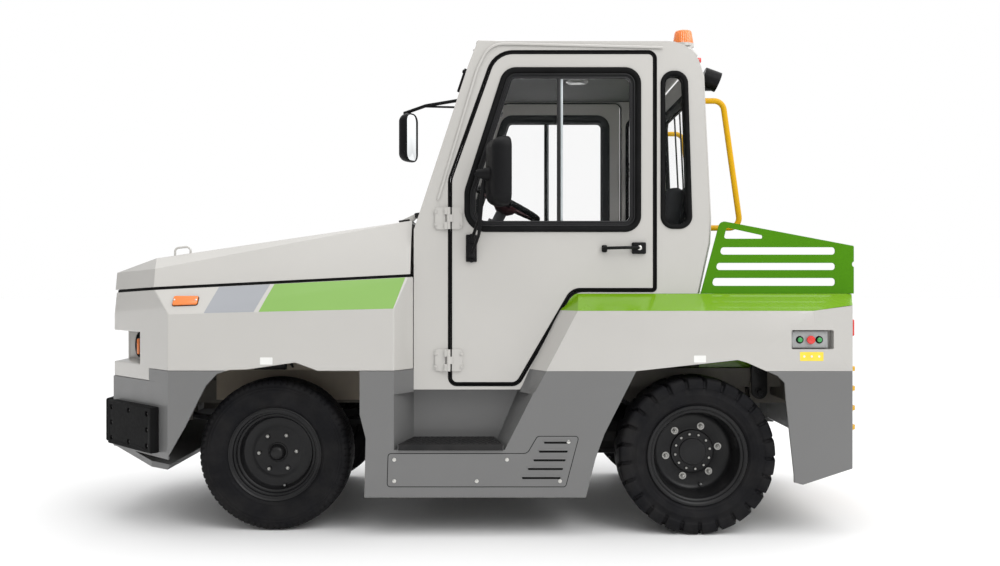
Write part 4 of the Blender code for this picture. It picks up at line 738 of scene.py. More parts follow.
for node in ("front_left_tyre", "front_right_tyre"):
    tyre(node, front_half(), front_carving, FRONT_PITCHES * FRONT_STEPS_EACH, 0.0)
for node in ("rear_left_tyre", "rear_right_tyre"):
    tyre(node, rear_half(), rear_carving, LUGS * LUG_STEPS, 0.9)

FRONT_BEAD, FRONT_RIM = 0.0755, 0.1915
REAR_BEAD, REAR_RIM = 0.0905, 0.2035
FRONT_WHEEL = [
    (0.056, 0), (0.0552, 0.012), (0.0525, 0.022), (0.047, 0.0295), (0.039, 0.0335), (0.02, 0.0355),
    (0.0172, 0.0375), (0.016, 0.0415), (0.0125, 0.044), (0.011, 0.048), (0.01, 0.099), (0.009, 0.106),
    (0.006, 0.112), (0.005, 0.122), (0.005, 0.144), (0.0075, 0.152), (0.015, 0.158), (0.03, 0.1615),
    (0.042, 0.164), (0.045, 0.168), (0.046, 0.173), (0.06, 0.176), (0.064, 0.18), (0.065, 0.1845),
    (0.077, 0.1875), (0.0795, 0.192), (0.08, 0.198), (0.0835, 0.202),
    (0.0848, 0.2045), (0.0835, 0.2068), (0.0755, 0.207), (FRONT_BEAD, FRONT_RIM), (-FRONT_BEAD, FRONT_RIM),
    (-0.0755, 0.207), (-0.0835, 0.2068), (-0.0848, 0.2045), (-0.08, 0.199), (-0.079, 0.186),
    (-0.07, 0.1775), (0.008, 0.17), (0.0045, 0.16), (-0.002, 0.148), (-0.002, 0.052),
    (-0.03, 0.052), (-0.03, 0)]
REAR_WHEEL = [
    (-0.012, 0), (-0.012, 0.053), (-0.0132, 0.058), (-0.02, 0.06), (-0.0215, 0.064), (-0.0215, 0.09),
    (-0.0232, 0.094), (-0.0345, 0.0965), (-0.036, 0.1), (-0.036, 0.144), (-0.0345, 0.154),
    (-0.029, 0.164), (-0.02, 0.1715), (-0.005, 0.176), (0.06, 0.183), (0.079, 0.1855), (0.086, 0.189),
    (0.089, 0.195), (0.0885, 0.2), (0.094, 0.202), (0.0985, 0.207), (0.1002, 0.213), (0.0995, 0.2175),
    (0.0965, 0.219), (0.0905, 0.219), (REAR_BEAD, REAR_RIM), (-REAR_BEAD, REAR_RIM), (-0.0905, 0.219),
    (-0.0975, 0.219), (-0.0985, 0.216), (-0.0945, 0.1935), (-0.044, 0.174), (-0.05, 0.15),
    (-0.05, 0.052), (-0.0515, 0.052), (-0.0515, 0)]
FRONT_NUTS = (6, 0.084, 0.01, 0.0155, 0.016, 0.458)  # count, circle, face, size, stud, first place
REAR_NUTS = (6, 0.118, -0.036, 0.0175, 0.022, 0.333)
HUB_BOLTS = (12, 0.078, -0.0215, 0.0105, 0.0, 0.683)
VALVE_CIRCLE, VALVE_TURN = 0.148, 2.9


def nut_ring(centre, side, ring):
    count, circle_r, face, size, stud, phase = ring
    solids = []
    for k in range(count):
        turn = 2 * math.pi * (k + phase) / count
        place = centre + Vector((side * face, circle_r * math.sin(turn), circle_r * math.cos(turn)))
        solids.append(bolt(place, (side, 0, 0), size, washer=stud > 0.02, stud=stud))
    return join(*solids)


def wheel(node, profile, nuts, bolts):
    centre = sum(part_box(node.replace("wheel", "tyre")), Vector()) / 2
    side = 1 if centre.x > 0 else -1
    body = NODES[node]["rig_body"]
    piece(node + "_rim", lathe(profile, centre, (side, 0, 0), 128), WHEEL_BLACK, body, crease=28,
        replaces=(node,))
    piece(node + "_nuts", nut_ring(centre, side, nuts), NUT_STEEL, body, crease=30)
    stem = centre + Vector((side * (nuts[2] + 0.004), VALVE_CIRCLE * math.sin(VALVE_TURN),
        VALVE_CIRCLE * math.cos(VALVE_TURN)))
    valve = lathe([(-0.01, 0), (-0.01, 0.0045), (0.016, 0.004), (0.018, 0.0055), (0.028, 0.005),
        (0.029, 0)], stem, (side, 0, 0), 16)
    piece(node + "_valve", valve, BARE_STEEL, body)
    if bolts:
        piece(node + "_hub_bolts", nut_ring(centre, side, bolts), NUT_STEEL, body, crease=30)


for node in ("front_left_wheel", "front_right_wheel"):
    wheel(node, FRONT_WHEEL, FRONT_NUTS, None)
for node in ("rear_left_wheel", "rear_right_wheel"):
    wheel(node, REAR_WHEEL, REAR_NUTS, HUB_BOLTS)

# ---------------------------------------------------------------- doors: seals, windows, handles

DOOR_CORNERS = [(-0.19, 0.649), (0.107, 0.649), (0.349, 1.064), (0.713, 1.064), (0.713, 2.113),
    (0.01, 2.113), (-0.19, 1.552)]
DOOR_RADII = [0.03, 0.045, 0.07, 0.012, 0.03, 0.11, 0.1]
WINDOW_CORNERS = [(-0.115, 1.332), (0.64, 1.332), (0.64, 2.034), (0.057, 2.034), (-0.115, 1.5)]
WINDOW_RADII = [0.1, 0.06, 0.06, 0.06, 0.1]
QUARTER_CORNERS = [(0.75, 1.345), (0.868, 1.345), (0.847, 2.02), (0.75, 2.02)]
DOOR_SKIN = 0.645


def door_ring(grow, section, steps=7):
    """A ring that follows the door's edge, grown from the middle of the door gap."""
    outline = rounded(grown(DOOR_CORNERS, grow), [r + grow for r in DOOR_RADII], steps)
    return frame_ring(outline, "X", section)


def door_details(word, side):
    door = f"{word}_door"
    edge = [(0.0035, 0.63), (0.0035, 0.6455), (0.0015, 0.6474), (-0.0028, 0.6474), (-0.0045, 0.6456),
        (-0.0045, 0.644), (0.0002, 0.644), (0.0002, 0.63)]
    piece(f"{door}_edge_seal", mirrored(door_ring(-0.005, edge), side), RUBBER_AND_SHADE, door, crease=50)
    jamb = [(-0.004, 0.618), (-0.004, 0.6392), (-0.0018, 0.6422), (0.0026, 0.6428), (0.0048, 0.6412),
        (0.0048, 0.6396), (-0.0002, 0.6396), (-0.0002, 0.618)]
    piece(f"{word}_jamb_seal", mirrored(door_ring(0.005, jamb), side), RUBBER_AND_SHADE, crease=50)
    window = rounded(WINDOW_CORNERS, WINDOW_RADII, 9)
    rubber = [(0.012, 0.644), (0.0124, 0.6475), (0.0105, 0.6515), (0.006, 0.654), (0.0, 0.6545),
        (-0.006, 0.653), (-0.011, 0.649), (-0.0135, 0.644), (-0.0135, 0.629), (-0.0005, 0.629),
        (-0.0005, 0.644)]
    piece(f"{word}_window_rubber", mirrored(frame_ring(window, "X", rubber), side), RUBBER_AND_SHADE, door, crease=40)
    frame_section = [(-0.0135, 0.6285), (-0.0135, 0.6425), (-0.018, 0.6432), (-0.0215, 0.6405),
        (-0.0225, 0.6365), (-0.03, 0.636), (-0.0312, 0.6395), (-0.0345, 0.6405), (-0.0375, 0.6385),
        (-0.038, 0.626), (-0.03, 0.6255)]
    piece(f"{word}_window_frame", mirrored(frame_ring(window, "X", frame_section), side), FRAME_BLACK,
        door, crease=40)
    inner = [(0.0, 0.602), (0.012, 0.602), (0.011, 0.5985), (-0.005, 0.598), (-0.025, 0.605),
        (-0.033, 0.616), (-0.033, 0.6185), (-0.0005, 0.6185)]
    piece(f"{word}_window_inner_frame", mirrored(frame_ring(window, "X", inner), side), FRAME_BLACK, door,
        crease=40)
    bar = block((0.6255, 0.64), (0.2815, 0.2975), (1.368, 1.998), 0.002)
    strip = block((0.6262, 0.635), (0.2975, 0.308), (1.368, 1.998), 0.0015)
    piece(f"{word}_window_divider", mirrored(bar, side), FRAME_BLACK, door)
    piece(f"{word}_window_pane_edge", mirrored(strip, side), PANE_EDGE, door)
    grip = [block((DOOR_SKIN, DOOR_SKIN + 0.02), (0.61, 0.6718), (1.2228, 1.274), 0.006, 3),
        block((DOOR_SKIN, DOOR_SKIN + 0.016), (0.4774, 0.502), (1.23, 1.262), 0.007, 3)]
    spine = [(DOOR_SKIN + 0.024, 0.484, 1.2475), (DOOR_SKIN + 0.032, 0.52, 1.2485),
        (DOOR_SKIN + 0.033, 0.58, 1.25), (DOOR_SKIN + 0.024, 0.64, 1.25)]
    grip.append(sweep(smooth_path([(DOOR_SKIN + 0.01, 0.487, 1.247), *spine], 0.02, 6),
        [(a * 0.8, b * 1.15) for a, b in circle(0.0085, 14)]))
    piece(f"{door}_handle", mirrored(join(*grip), side), PLASTIC, door, crease=40)
    lock = lathe([(0, 0), (0, 0.0105), (0.004, 0.01), (0.005, 0.008), (0.0046, 0.003), (0.0046, 0)],
        (DOOR_SKIN + 0.0198, 0.6427, 1.2493), (1, 0, 0), 28)
    # A black sliver on the lock face: painted shade of the keyway.
    shaded_keyway = block((DOOR_SKIN + 0.0243, DOOR_SKIN + 0.025), (0.642, 0.6434), (1.2458, 1.2528), 0.0002)
    piece(f"{door}_lock", mirrored(lock, side), ZINC, door)
    piece(f"{door}_keyway_shade", mirrored(shaded_keyway, side), RUBBER_AND_SHADE, door)
    pull = tube([(0.598, 0.5, 1.235), (0.56, 0.51, 1.235), (0.56, 0.64, 1.235), (0.598, 0.65, 1.235)],
        0.009)
    latch_box = block((0.588, 0.6025), (0.64, 0.702), (1.18, 1.275), 0.004)
    piece(f"{door}_inner_pull", mirrored(join(pull, latch_box), side), PLASTIC, door)
    lining = slab(rounded(grown(DOOR_CORNERS[:4] + [(0.713, 1.29), (-0.19, 1.29)], -0.045), 0.03, 6), "X",
        0.5965, 0.6026, 0.002)
    piece(f"{door}_lining", mirrored(lining, side), TRIM, door)
    screws = []
    for level in (0.755, 1.38):
        for step in (-0.028, 0.028):
            for y, skin in ((-0.252, 0.65), (-0.14, 0.655)):
                screws.append((y, level + step, skin))
    heads = [bolt((x, y, z), (1, 0, 0), 0.01) for y, z, x in screws if y > -0.2]
    fixed = [bolt((x, y, z), (1, 0, 0), 0.01) for y, z, x in screws if y < -0.2]
    piece(f"{door}_hinge_screws", mirrored(join(*heads), side), WHITE, door)
    piece(f"{word}_pillar_hinge_screws", mirrored(join(*fixed), side), WHITE)


def quarter_details(word, side):
    outline = rounded(QUARTER_CORNERS, 0.045, 9)
    rubber = [(0.0115, 0.639), (0.0118, 0.643), (0.009, 0.6472), (0.003, 0.649), (-0.004, 0.6478),
        (-0.009, 0.643), (-0.011, 0.633), (-0.011, 0.6165), (-0.0005, 0.6165), (-0.0005, 0.639)]
    piece(f"{word}_quarter_rubber", mirrored(frame_ring(outline, "X", rubber), side), RUBBER_AND_SHADE, crease=40)
    inner = [(0.01, 0.5895), (0.01, 0.587), (-0.008, 0.587), (-0.011, 0.595), (-0.011, 0.6095),
        (-0.0005, 0.6095), (-0.0005, 0.5895)]
    piece(f"{word}_quarter_inner_rubber", mirrored(frame_ring(outline, "X", inner), side), RUBBER_AND_SHADE,
        crease=40)
    gutter_route = [(0.643, -0.2436, 1.4613), (0.643, -0.07, 2.04), (0.643, -0.015, 2.15),
        (0.643, 0.12, 2.149), (0.643, 0.748, 2.133)]
    section = [(0.0045, -0.0055), (0.0045, 0.004), (0.001, 0.0062), (-0.004, 0.0062), (-0.0062, 0.003),
        (-0.0058, -0.0055), (-0.0042, -0.0055), (-0.0035, 0.0015), (0.002, 0.0015), (0.0028, -0.0055)]
    path = smooth_path(gutter_route, 0.16, 14)
    gutter = sweep(path, [(b * 0.9, a) for a, b in section], up=(-1, 0, 0))
    piece(f"{word}_rain_gutter", mirrored(gutter, side), WHITE, crease=40)


for word, side in SIDES:
    door_details(word, side)
    quarter_details(word, side)

# ---------------------------------------------------------------- windscreen, rear window, roof

SCREEN_FOOT, SCREEN_TOP = Vector((-0.3505, 1.33)), Vector((-0.108, 2.063))
SCREEN_RUN = SCREEN_TOP - SCREEN_FOOT
SCREEN_IN = Vector((SCREEN_RUN.y, -SCREEN_RUN.x)).normalized()


def screen_point(x, up, depth):
    """A point on the windscreen slope: metres up from its foot, and depth behind its outer face."""
    spot = SCREEN_FOOT + SCREEN_RUN.normalized() * up + SCREEN_IN * depth
    return (x, spot.x, spot.y)


def screen_ring(outline, section):
    return grid([[screen_point(a, b, depth) for a, b in grown(outline, out)] for out, depth in section],
        closed_along=True)


def windscreen_details():
    low, high = 0.1 * SCREEN_RUN.length, 0.955 * SCREEN_RUN.length
    outline = rectangle((-0.53, 0.53), (low, high), 0.06, 9)
    rubber = [(0.014, 0.001), (0.014, -0.0035), (0.008, -0.0065), (-0.002, -0.006), (-0.01, -0.001),
        (-0.015, 0.006), (-0.015, 0.0112), (-0.0005, 0.0112), (-0.0005, 0.001)]
    piece("windscreen_rubber", screen_ring(outline, rubber), RUBBER_AND_SHADE, crease=40)
    inner = [(0.01, 0.036), (0.01, 0.0385), (-0.008, 0.0385), (-0.014, 0.03), (-0.014, 0.0188),
        (-0.0005, 0.0188), (-0.0005, 0.036)]
    piece("windscreen_inner_rubber", screen_ring(outline, inner), RUBBER_AND_SHADE, crease=40)
    park = high - 0.03
    slope = (0, -SCREEN_IN.x, -SCREEN_IN.y)
    motor = join(lathe([(0, 0), (0, 0.018), (0.014, 0.015), (0.018, 0.009), (0.018, 0)],
        screen_point(0.13, high + 0.02, 0.0), slope, 28))
    arm = sweep([screen_point(0.13, high + 0.02, -0.02), screen_point(0.1, high + 0.004, -0.026),
        screen_point(-0.02, park + 0.002, -0.024), screen_point(-0.16, park, -0.018)],
        [(0.007, -0.002), (0.007, 0.002), (-0.007, 0.002), (-0.007, -0.002)],
        up=slope)
    blade = sweep([screen_point(x, park, -0.011) for x in (-0.42, -0.3, -0.16, -0.02, 0.1)],
        [(0.006, -0.004), (0.005, 0.003), (0.0, 0.006), (-0.005, 0.003), (-0.006, -0.004)],
        up=slope)
    spindle = sweep([screen_point(0.52, high + lift, -0.016)
        for lift in (-0.078, -0.06, -0.015, 0.02, 0.032)],
        [(0.006, -0.007), (0.006, 0.003), (0.003, 0.007), (-0.003, 0.007), (-0.006, 0.003),
        (-0.006, -0.007)], up=slope)
    post = lathe([(0, 0), (0, 0.009), (0.024, 0.009), (0.028, 0.006), (0.028, 0)],
        screen_point(0.52, high + 0.018, 0.0), slope, 20)
    piece("wiper", join(motor, arm, blade), PLASTIC, crease=40)
    piece("parked_wiper_arm", join(spindle, post), PLASTIC, crease=40)


REAR_LEAN = (0.9275 - 0.9545) / (1.911 - 1.375)


def rear_point(x, z, depth):
    """A point behind the cab's rear face, at a depth inside that face."""
    return (x, 0.9745 - depth + (z - 1.375) * REAR_LEAN, z)


def rear_ring(outline, section):
    return grid([[rear_point(a, b, depth) for a, b in grown(outline, out)] for out, depth in section],
        closed_along=True)


def rear_window_details():
    outline = rounded([(-0.46, 1.42), (0.46, 1.42), (0.43, 1.97), (-0.43, 1.97)], 0.06, 9)
    section = [(0.013, 0.002), (0.013, -0.0035), (0.007, -0.0065), (-0.002, -0.006), (-0.01, -0.001),
        (-0.014, 0.007), (-0.014, 0.015), (-0.0005, 0.015), (-0.0005, 0.002)]
    piece("rear_window_rubber", rear_ring(outline, section), RUBBER_AND_SHADE, crease=40)
    inner = [(0.01, 0.056), (-0.008, 0.0575), (-0.013, 0.045), (-0.013, 0.023), (-0.0006, 0.023),
        (-0.0006, 0.056)]
    piece("rear_window_inner_rubber", rear_ring(outline, inner), RUBBER_AND_SHADE, crease=40)
    for k, x in enumerate((-0.3, -0.15, 0.0, 0.15, 0.3)):
        guard = tube([rear_point(x, 1.405, -0.004), rear_point(x, 1.412, -0.022),
            rear_point(x, 1.98, -0.022), rear_point(x, 1.988, -0.004)], 0.0045, 0.012, 10)
        piece(f"rear_window_bar_{k + 1}", guard, BLACK_METAL)


def roof_details():
    caps = []
    for x in (-0.545, 0.545):
        for y in (0.123, 0.722):
            caps.append(lathe([(-0.002, 0), (-0.002, 0.014), (0.003, 0.014), (0.004, 0.01),
                (0.0095, 0.009), (0.011, 0.006), (0.011, 0)], (x, y, ROOF_Z), (0, 0, 1), 24))
    piece("roof_bolts", join(*caps), YELLOW)
    brow = [(-0.079, ROOF_Z - 0.001), (-0.0735, ROOF_Z + 0.015), (-0.068, ROOF_Z + 0.018),
        (0.056, ROOF_Z + 0.0145), (0.072, ROOF_Z + 0.004), (0.074, ROOF_Z - 0.001)]
    piece("roof_brow", slab(rounded(brow, 0.004, 3), "X", -0.585, 0.585, 0.004), WHITE)
    seams = []
    for x in (-0.591, 0.591):
        seams.append(sweep([(x, -0.06, ROOF_Z + 0.0002), (x, 0.4, ROOF_Z + 0.0002),
            (x, 0.77, ROOF_Z + 0.0002)], [(0.005, -0.0005), (0.004, 0.0012), (-0.004, 0.0012),
            (-0.005, -0.0005)], up=(0, 0, 1)))
    piece("roof_sealant", join(*seams), WHITE)
    lining = slab(rectangle((-0.575, 0.575), (-0.03, 0.8), 0.05, 6), "Z", ROOF_Z - 0.048, ROOF_Z - 0.0355,
        0.004)
    piece("headliner", lining, LINER)
    lamp = lathe([(0, 0), (0, 0.06), (-0.006, 0.058), (-0.014, 0.045), (-0.016, 0)],
        (0, 0.42, ROOF_Z - 0.0478), (0, 0, 1), 40)
    piece("cab_lamp", lamp, LENS)


windscreen_details()
rear_window_details()
roof_details()

# ---------------------------------------------------------------- nose: stripes, lamps, pads, hood seal

NOSE_Y = -1.775
SEAM = ((NOSE_Y, 1.05), (-0.351, 1.122))  # the line between fenders and hood (Y, Z)
SHOULDER = ((NOSE_Y, 0.951), (-0.351, 0.985))


def along_line(y, line):
    (y0, z0), (y1, z1) = line
    return z0 + (z1 - z0) * (y - y0) / (y1 - y0)


def band_stripe(low, high):
    """A slanted stripe over the leaning band, between pairs of Y at its lower and upper edges."""
    inset = 0.0015
    shape = []
    for share in (0.0, 1.0):
        y = low[0] + (low[1] - low[0]) * share
        shape.append((y, along_line(y, SHOULDER) + inset))
    for share in (1.0, 0.0):
        y = high[0] + (high[1] - high[0]) * share
        shape.append((y, along_line(y, SEAM) - inset))
    return shape


def nose_side_details(word, side):
    grey = band_stripe((-1.2448, -1.0303), (-1.2007, -0.9771))
    green = band_stripe((-1.0091, -0.43), (-0.9582, -0.385))
    for name, shape, material in (("grey", grey, STRIPE_GREY), ("green", green, STRIPE_GREEN)):
        strip = laid_strip("front_cowl", side, shape[:2], (shape[3], shape[2]), 36, 10)
        piece(f"{word}_{name}_stripe", strip, material)
    marker = rounded([(-1.3888, 0.999), (-1.383, 0.9955), (-1.285, 0.999), (-1.28, 1.003), (-1.28, 1.031),
        (-1.285, 1.036), (-1.383, 1.036), (-1.3888, 1.032)], 0.006, 3)
    piece(f"{word}_side_marker", applied("front_cowl", side, marker,
        ((0, -0.001), (0, 0.006), (-0.002, 0.009), (-0.005, 0.01))), AMBER)
    base = applied("front_cowl", side, marker, ((0.002, -0.001), (0.002, 0.002), (0.001, 0.003)))
    piece(f"{word}_side_marker_base", base, PLASTIC)
    screws = []
    for y in (-1.3815, -1.287):
        spot, normal = on_panel("front_cowl", side, y, 1.0165)
        screws.append(lathe([(0, 0), (0, 0.0045), (0.002, 0.004), (0.003, 0.002), (0.003, 0)],
            spot + normal * 0.0095, normal, 16))
    piece(f"{word}_side_marker_screws", join(*screws), ZINC)
    label = rectangle((-1.0024, -0.9486), (0.744, 0.775), 0.003)
    piece(f"{word}_fender_label", applied("front_cowl", side, label, STICKER), LABEL_WHITE)


def hood_seal():
    """The rubber strip that the hood's edge rests on, seen as a black line above the fenders."""
    def at(x, y):
        return (x, y, along_line(y, SEAM) + 0.0062)
    half = [(0.0, -1.758), (0.354, -1.758), (0.656, -1.462), (0.656, -0.372)]
    route = [at(x, y) for x, y in half] + [at(-x, y) for x, y in reversed(half[1:])]
    section = [(0.0085, -0.007), (0.0085, 0.003), (0.005, 0.0062), (-0.005, 0.0062), (-0.0085, 0.003),
        (-0.0085, -0.007)]
    piece("hood_seal", sweep(smooth_path(route, 0.02, 5), section, up=(0, 0, 1)), RUBBER_AND_SHADE, crease=40)


def drilled_pad(node, holes, direction):
    """A rubber buffer with counterbored bolts. Holes are points on its outer face."""
    along = Vector(direction)
    made = softened(node, RUBBER_AND_SHADE, 0.005)
    carve(made, 18, *[lathe([(-0.016, 0), (-0.016, 0.0125), (0.004, 0.0125), (0.004, 0)], h, along, 28)
        for h in holes])
    bolts = [bolt(h - along * 0.0155, along, 0.0125) for h in holes]
    piece(f"{node}_bolts", join(*bolts), BARE_STEEL)


def pads():
    low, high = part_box("front_bumper_pad")
    middle, half = (low.z + high.z) / 2, (high.z - low.z) / 2
    reach = high.x - 0.045
    holes = [Vector((x, low.y, middle + s * (half - 0.038)))
        for x in (-reach, -reach / 2, 0, reach / 2, reach) for s in (1, -1)]
    drilled_pad("front_bumper_pad", holes, (0, -1, 0))
    for word, side in SIDES:
        low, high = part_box(f"{word}_bumper_pad")
        faces = [f for f in NODES[f"{word}_bumper_pad"].data.polygons if f.normal.x
            * side > 0.3 and f.normal.y < -0.3]
        out = max(faces, key=lambda f: f.area).normal.copy()
        along = Vector((-out.y * side, out.x * side, 0))
        corners = [v.co for v in NODES[f"{word}_bumper_pad"].data.vertices]
        face = max(c.dot(out) for c in corners)
        near = min(c.dot(along) for c in corners if c.dot(out) > face - 0.002)
        far = max(c.dot(along) for c in corners if c.dot(out) > face - 0.002)
        rises = {0.055: (-1, 0, 1), 0.5: (-1, 1), 0.945: (-1, 0, 1)}
        holes = []
        for share, levels in rises.items():
            reach = near + 0.036 + (far - near - 0.072) * (share - 0.055) / 0.89
            for level in levels:
                spot = along * reach + out * face
                holes.append(Vector((spot.x, spot.y, (low.z + high.z) / 2
                    + level * ((high.z - low.z) / 2 - 0.03))))
        drilled_pad(f"{word}_bumper_pad", holes, out)


def headlight(word, side):
    node = f"{word}_headlight"
    low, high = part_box(node)
    inner = 0.204
    front, back = low.y, high.y
    floor_z, roof_z = low.z, high.z
    middle = (floor_z + roof_z) / 2
    sheet = 0.006
    outer_front = 0.3696
    outer_back = abs(high.x if side > 0 else low.x)
    plan = [(inner, front), (outer_front, front), (outer_back, front + outer_back - outer_front),
        (outer_back, back), (inner, back)]
    shell = [slab(plan, "Z", floor_z, floor_z + sheet, 0.001),
        slab(plan, "Z", roof_z - sheet, roof_z, 0.001),
        block((inner, outer_back), (back - sheet, back), (floor_z, roof_z), 0.001),
        block((inner, inner + sheet), (front, back), (floor_z, roof_z), 0.001)]
    piece(f"{node}_recess", mirrored(join(*shell), side), WHITE, crease=30,
        replaces=(node,))
    lamp_x = inner + 0.085
    centre = (lamp_x, back - sheet, middle)
    housing = [(0, 0), (0, 0.06), (0.05, 0.06), (0.082, 0.0625), (0.094, 0.0625), (0.097, 0.06),
        (0.097, 0.0555), (0.088, 0.0545), (0.086, 0)]
    piece(f"{node}_housing", mirrored(lathe(housing, centre, (0, -1, 0), 64), side), PLASTIC, crease=30)
    dish = [(0.087, 0), (0.0875, 0.016), (0.089, 0.036), (0.0925, 0.0545), (0.0905, 0.0545), (0.0866, 0)]
    piece(f"{node}_reflector", mirrored(lathe(dish, centre, (0, -1, 0), 64), side), MIRROR)
    glass = [(0.0945, 0), (0.0945, 0.055), (0.0965, 0.055), (0.1, 0.04), (0.102, 0.02), (0.1028, 0)]
    piece(f"{node}_lens", mirrored(lathe(glass, centre, (0, -1, 0), 64), side), LENS)
    x = inner + 0.195
    case = block((x, x + 0.052), (back - 0.045, back - sheet), (middle - 0.04, middle + 0.04), 0.006, 3)
    piece(f"{word}_turn_lamp_case", mirrored(case, side), PLASTIC)
    lens = block((x + 0.003, x + 0.049), (back - 0.06, back - 0.0445), (middle - 0.037, middle + 0.037),
        0.007, 3)
    piece(f"{word}_turn_lamp", mirrored(lens, side), AMBER)


def hood_brackets():
    fixed, moving = [], []
    for side in (1, -1):
        for x0, x1 in ((0.5085, 0.5255), (0.5545, 0.5715)):
            arm = [(-0.353, 1.388), (-0.305, 1.381), (-0.303, 1.4145), (-0.353, 1.4085)]
            fixed.append(mirrored(slab(rounded(arm, 0.005, 3), "X", x0, x1, 0.0015), side))
        plate = [(-0.425, 1.369), (-0.376, 1.3745), (-0.376, 1.382), (-0.425, 1.376)]
        moving.append(mirrored(slab(rounded(plate, 0.002, 2), "X", 0.52, 0.56, 0.001), side))
    piece("hood_hinge_arms", join(*fixed), BLACK_METAL)
    piece("hood_hinge_leaves", join(*moving), BLACK_METAL, "hood")


for word, side in SIDES:
    nose_side_details(word, side)
    headlight(word, side)
hood_seal()
pads()
hood_brackets()

# ---------------------------------------------------------------- steps, access panels, labels, controls

TREAD = [(0.534, -0.358), (0.759, -0.41), (0.759, 0.045), (0.534, 0.003)]


def step(word, side):
    cover = slab(rounded(TREAD, 0.004, 3), "Z", 0.3752, 0.4015, 0.002)
    piece(f"{word}_step_tread", mirrored(cover, side), TREAD_BLACK)
    studs = []
    pitch = 0.026
    for i in range(8):
        x = 0.556 + pitch * i
        for j in range(17):
            y = -0.38 + pitch * j + (pitch / 2 if i % 2 else 0)
            share = (x - 0.534) / 0.225
            if -0.35 - 0.052 * share < y < -0.005 + 0.04 * share:
                studs.append(lathe([(0, 0), (0, 0.007), (0.0016, 0.0062), (0.0026, 0.0036), (0.0026, 0)],
                    (x, y, 0.4012), (0, 0, 1), 10))
    piece(f"{word}_step_studs", mirrored(join(*studs), side), TREAD_BLACK)


def skirt_details(word, side):
    node = f"{word}_side_skirt"
    panel = rounded([(-0.454, 0.2196), (0.3113, 0.2196), (0.368, 0.434), (0.1913, 0.434), (0.1483, 0.36),
        (-0.45, 0.36)], [0.012, 0.012, 0.01, 0.016, 0.03, 0.012], 5)
    cover = applied(node, side, panel, ((0, -0.001), (0, 0.001), (-0.001, 0.0018)))
    piece(f"{word}_access_panel", cover, GREY, crease=20)
    gap = applied(node, side, panel, ((0.003, -0.0006), (0.003, 0.0003)))
    piece(f"{word}_access_panel_shadow", gap, RUBBER_AND_SHADE)
    screws = []
    for y, z in ((-0.425, 0.335), (-0.425, 0.243), (0.288, 0.243), (0.325, 0.412), (0.06, 0.335),
        (-0.07, 0.243)):
        spot, normal = on_panel(node, side, y, z)
        screws.append(lathe([(0, 0), (0, 0.0085), (0.0022, 0.008), (0.0034, 0.0048), (0.0034, 0)],
            spot + normal * 0.0016, normal, 20))
    piece(f"{word}_access_panel_screws", join(*screws), ZINC)
    # Black strips under the louvre lips: painted shade of the vent openings.
    opening_shades, lips = [], []
    for level, start, end in ((0.4088, 0.2193, 0.3311), (0.3705, 0.1978, 0.3208), (0.3331, 0.1741, 0.3113),
        (0.2956, 0.1504, 0.301), (0.2569, 0.1246, 0.2902)):
        shape = rectangle((start, end), (level - 0.0048, level + 0.0048), 0.0046)
        opening_shades.append(applied(node, side, shape, ((0, 0.001), (0, 0.0023))))
        lip = rectangle((start - 0.003, end + 0.003), (level + 0.004, level + 0.0095), 0.0024)
        lips.append(applied(node, side, lip, ((0, 0.001), (0, 0.004), (-0.0015, 0.0055))))
    piece(f"{word}_vent_shade", join(*opening_shades), RUBBER_AND_SHADE)
    piece(f"{word}_vent_lips", join(*lips), GREY, crease=30)


def labels(word, side):
    rear = rectangle((0.8645, 0.9161), (0.753, 0.783), 0.003)
    piece(f"{word}_quarter_label", applied(f"{word}_rear_quarter", side, rear, STICKER), LABEL_WHITE)


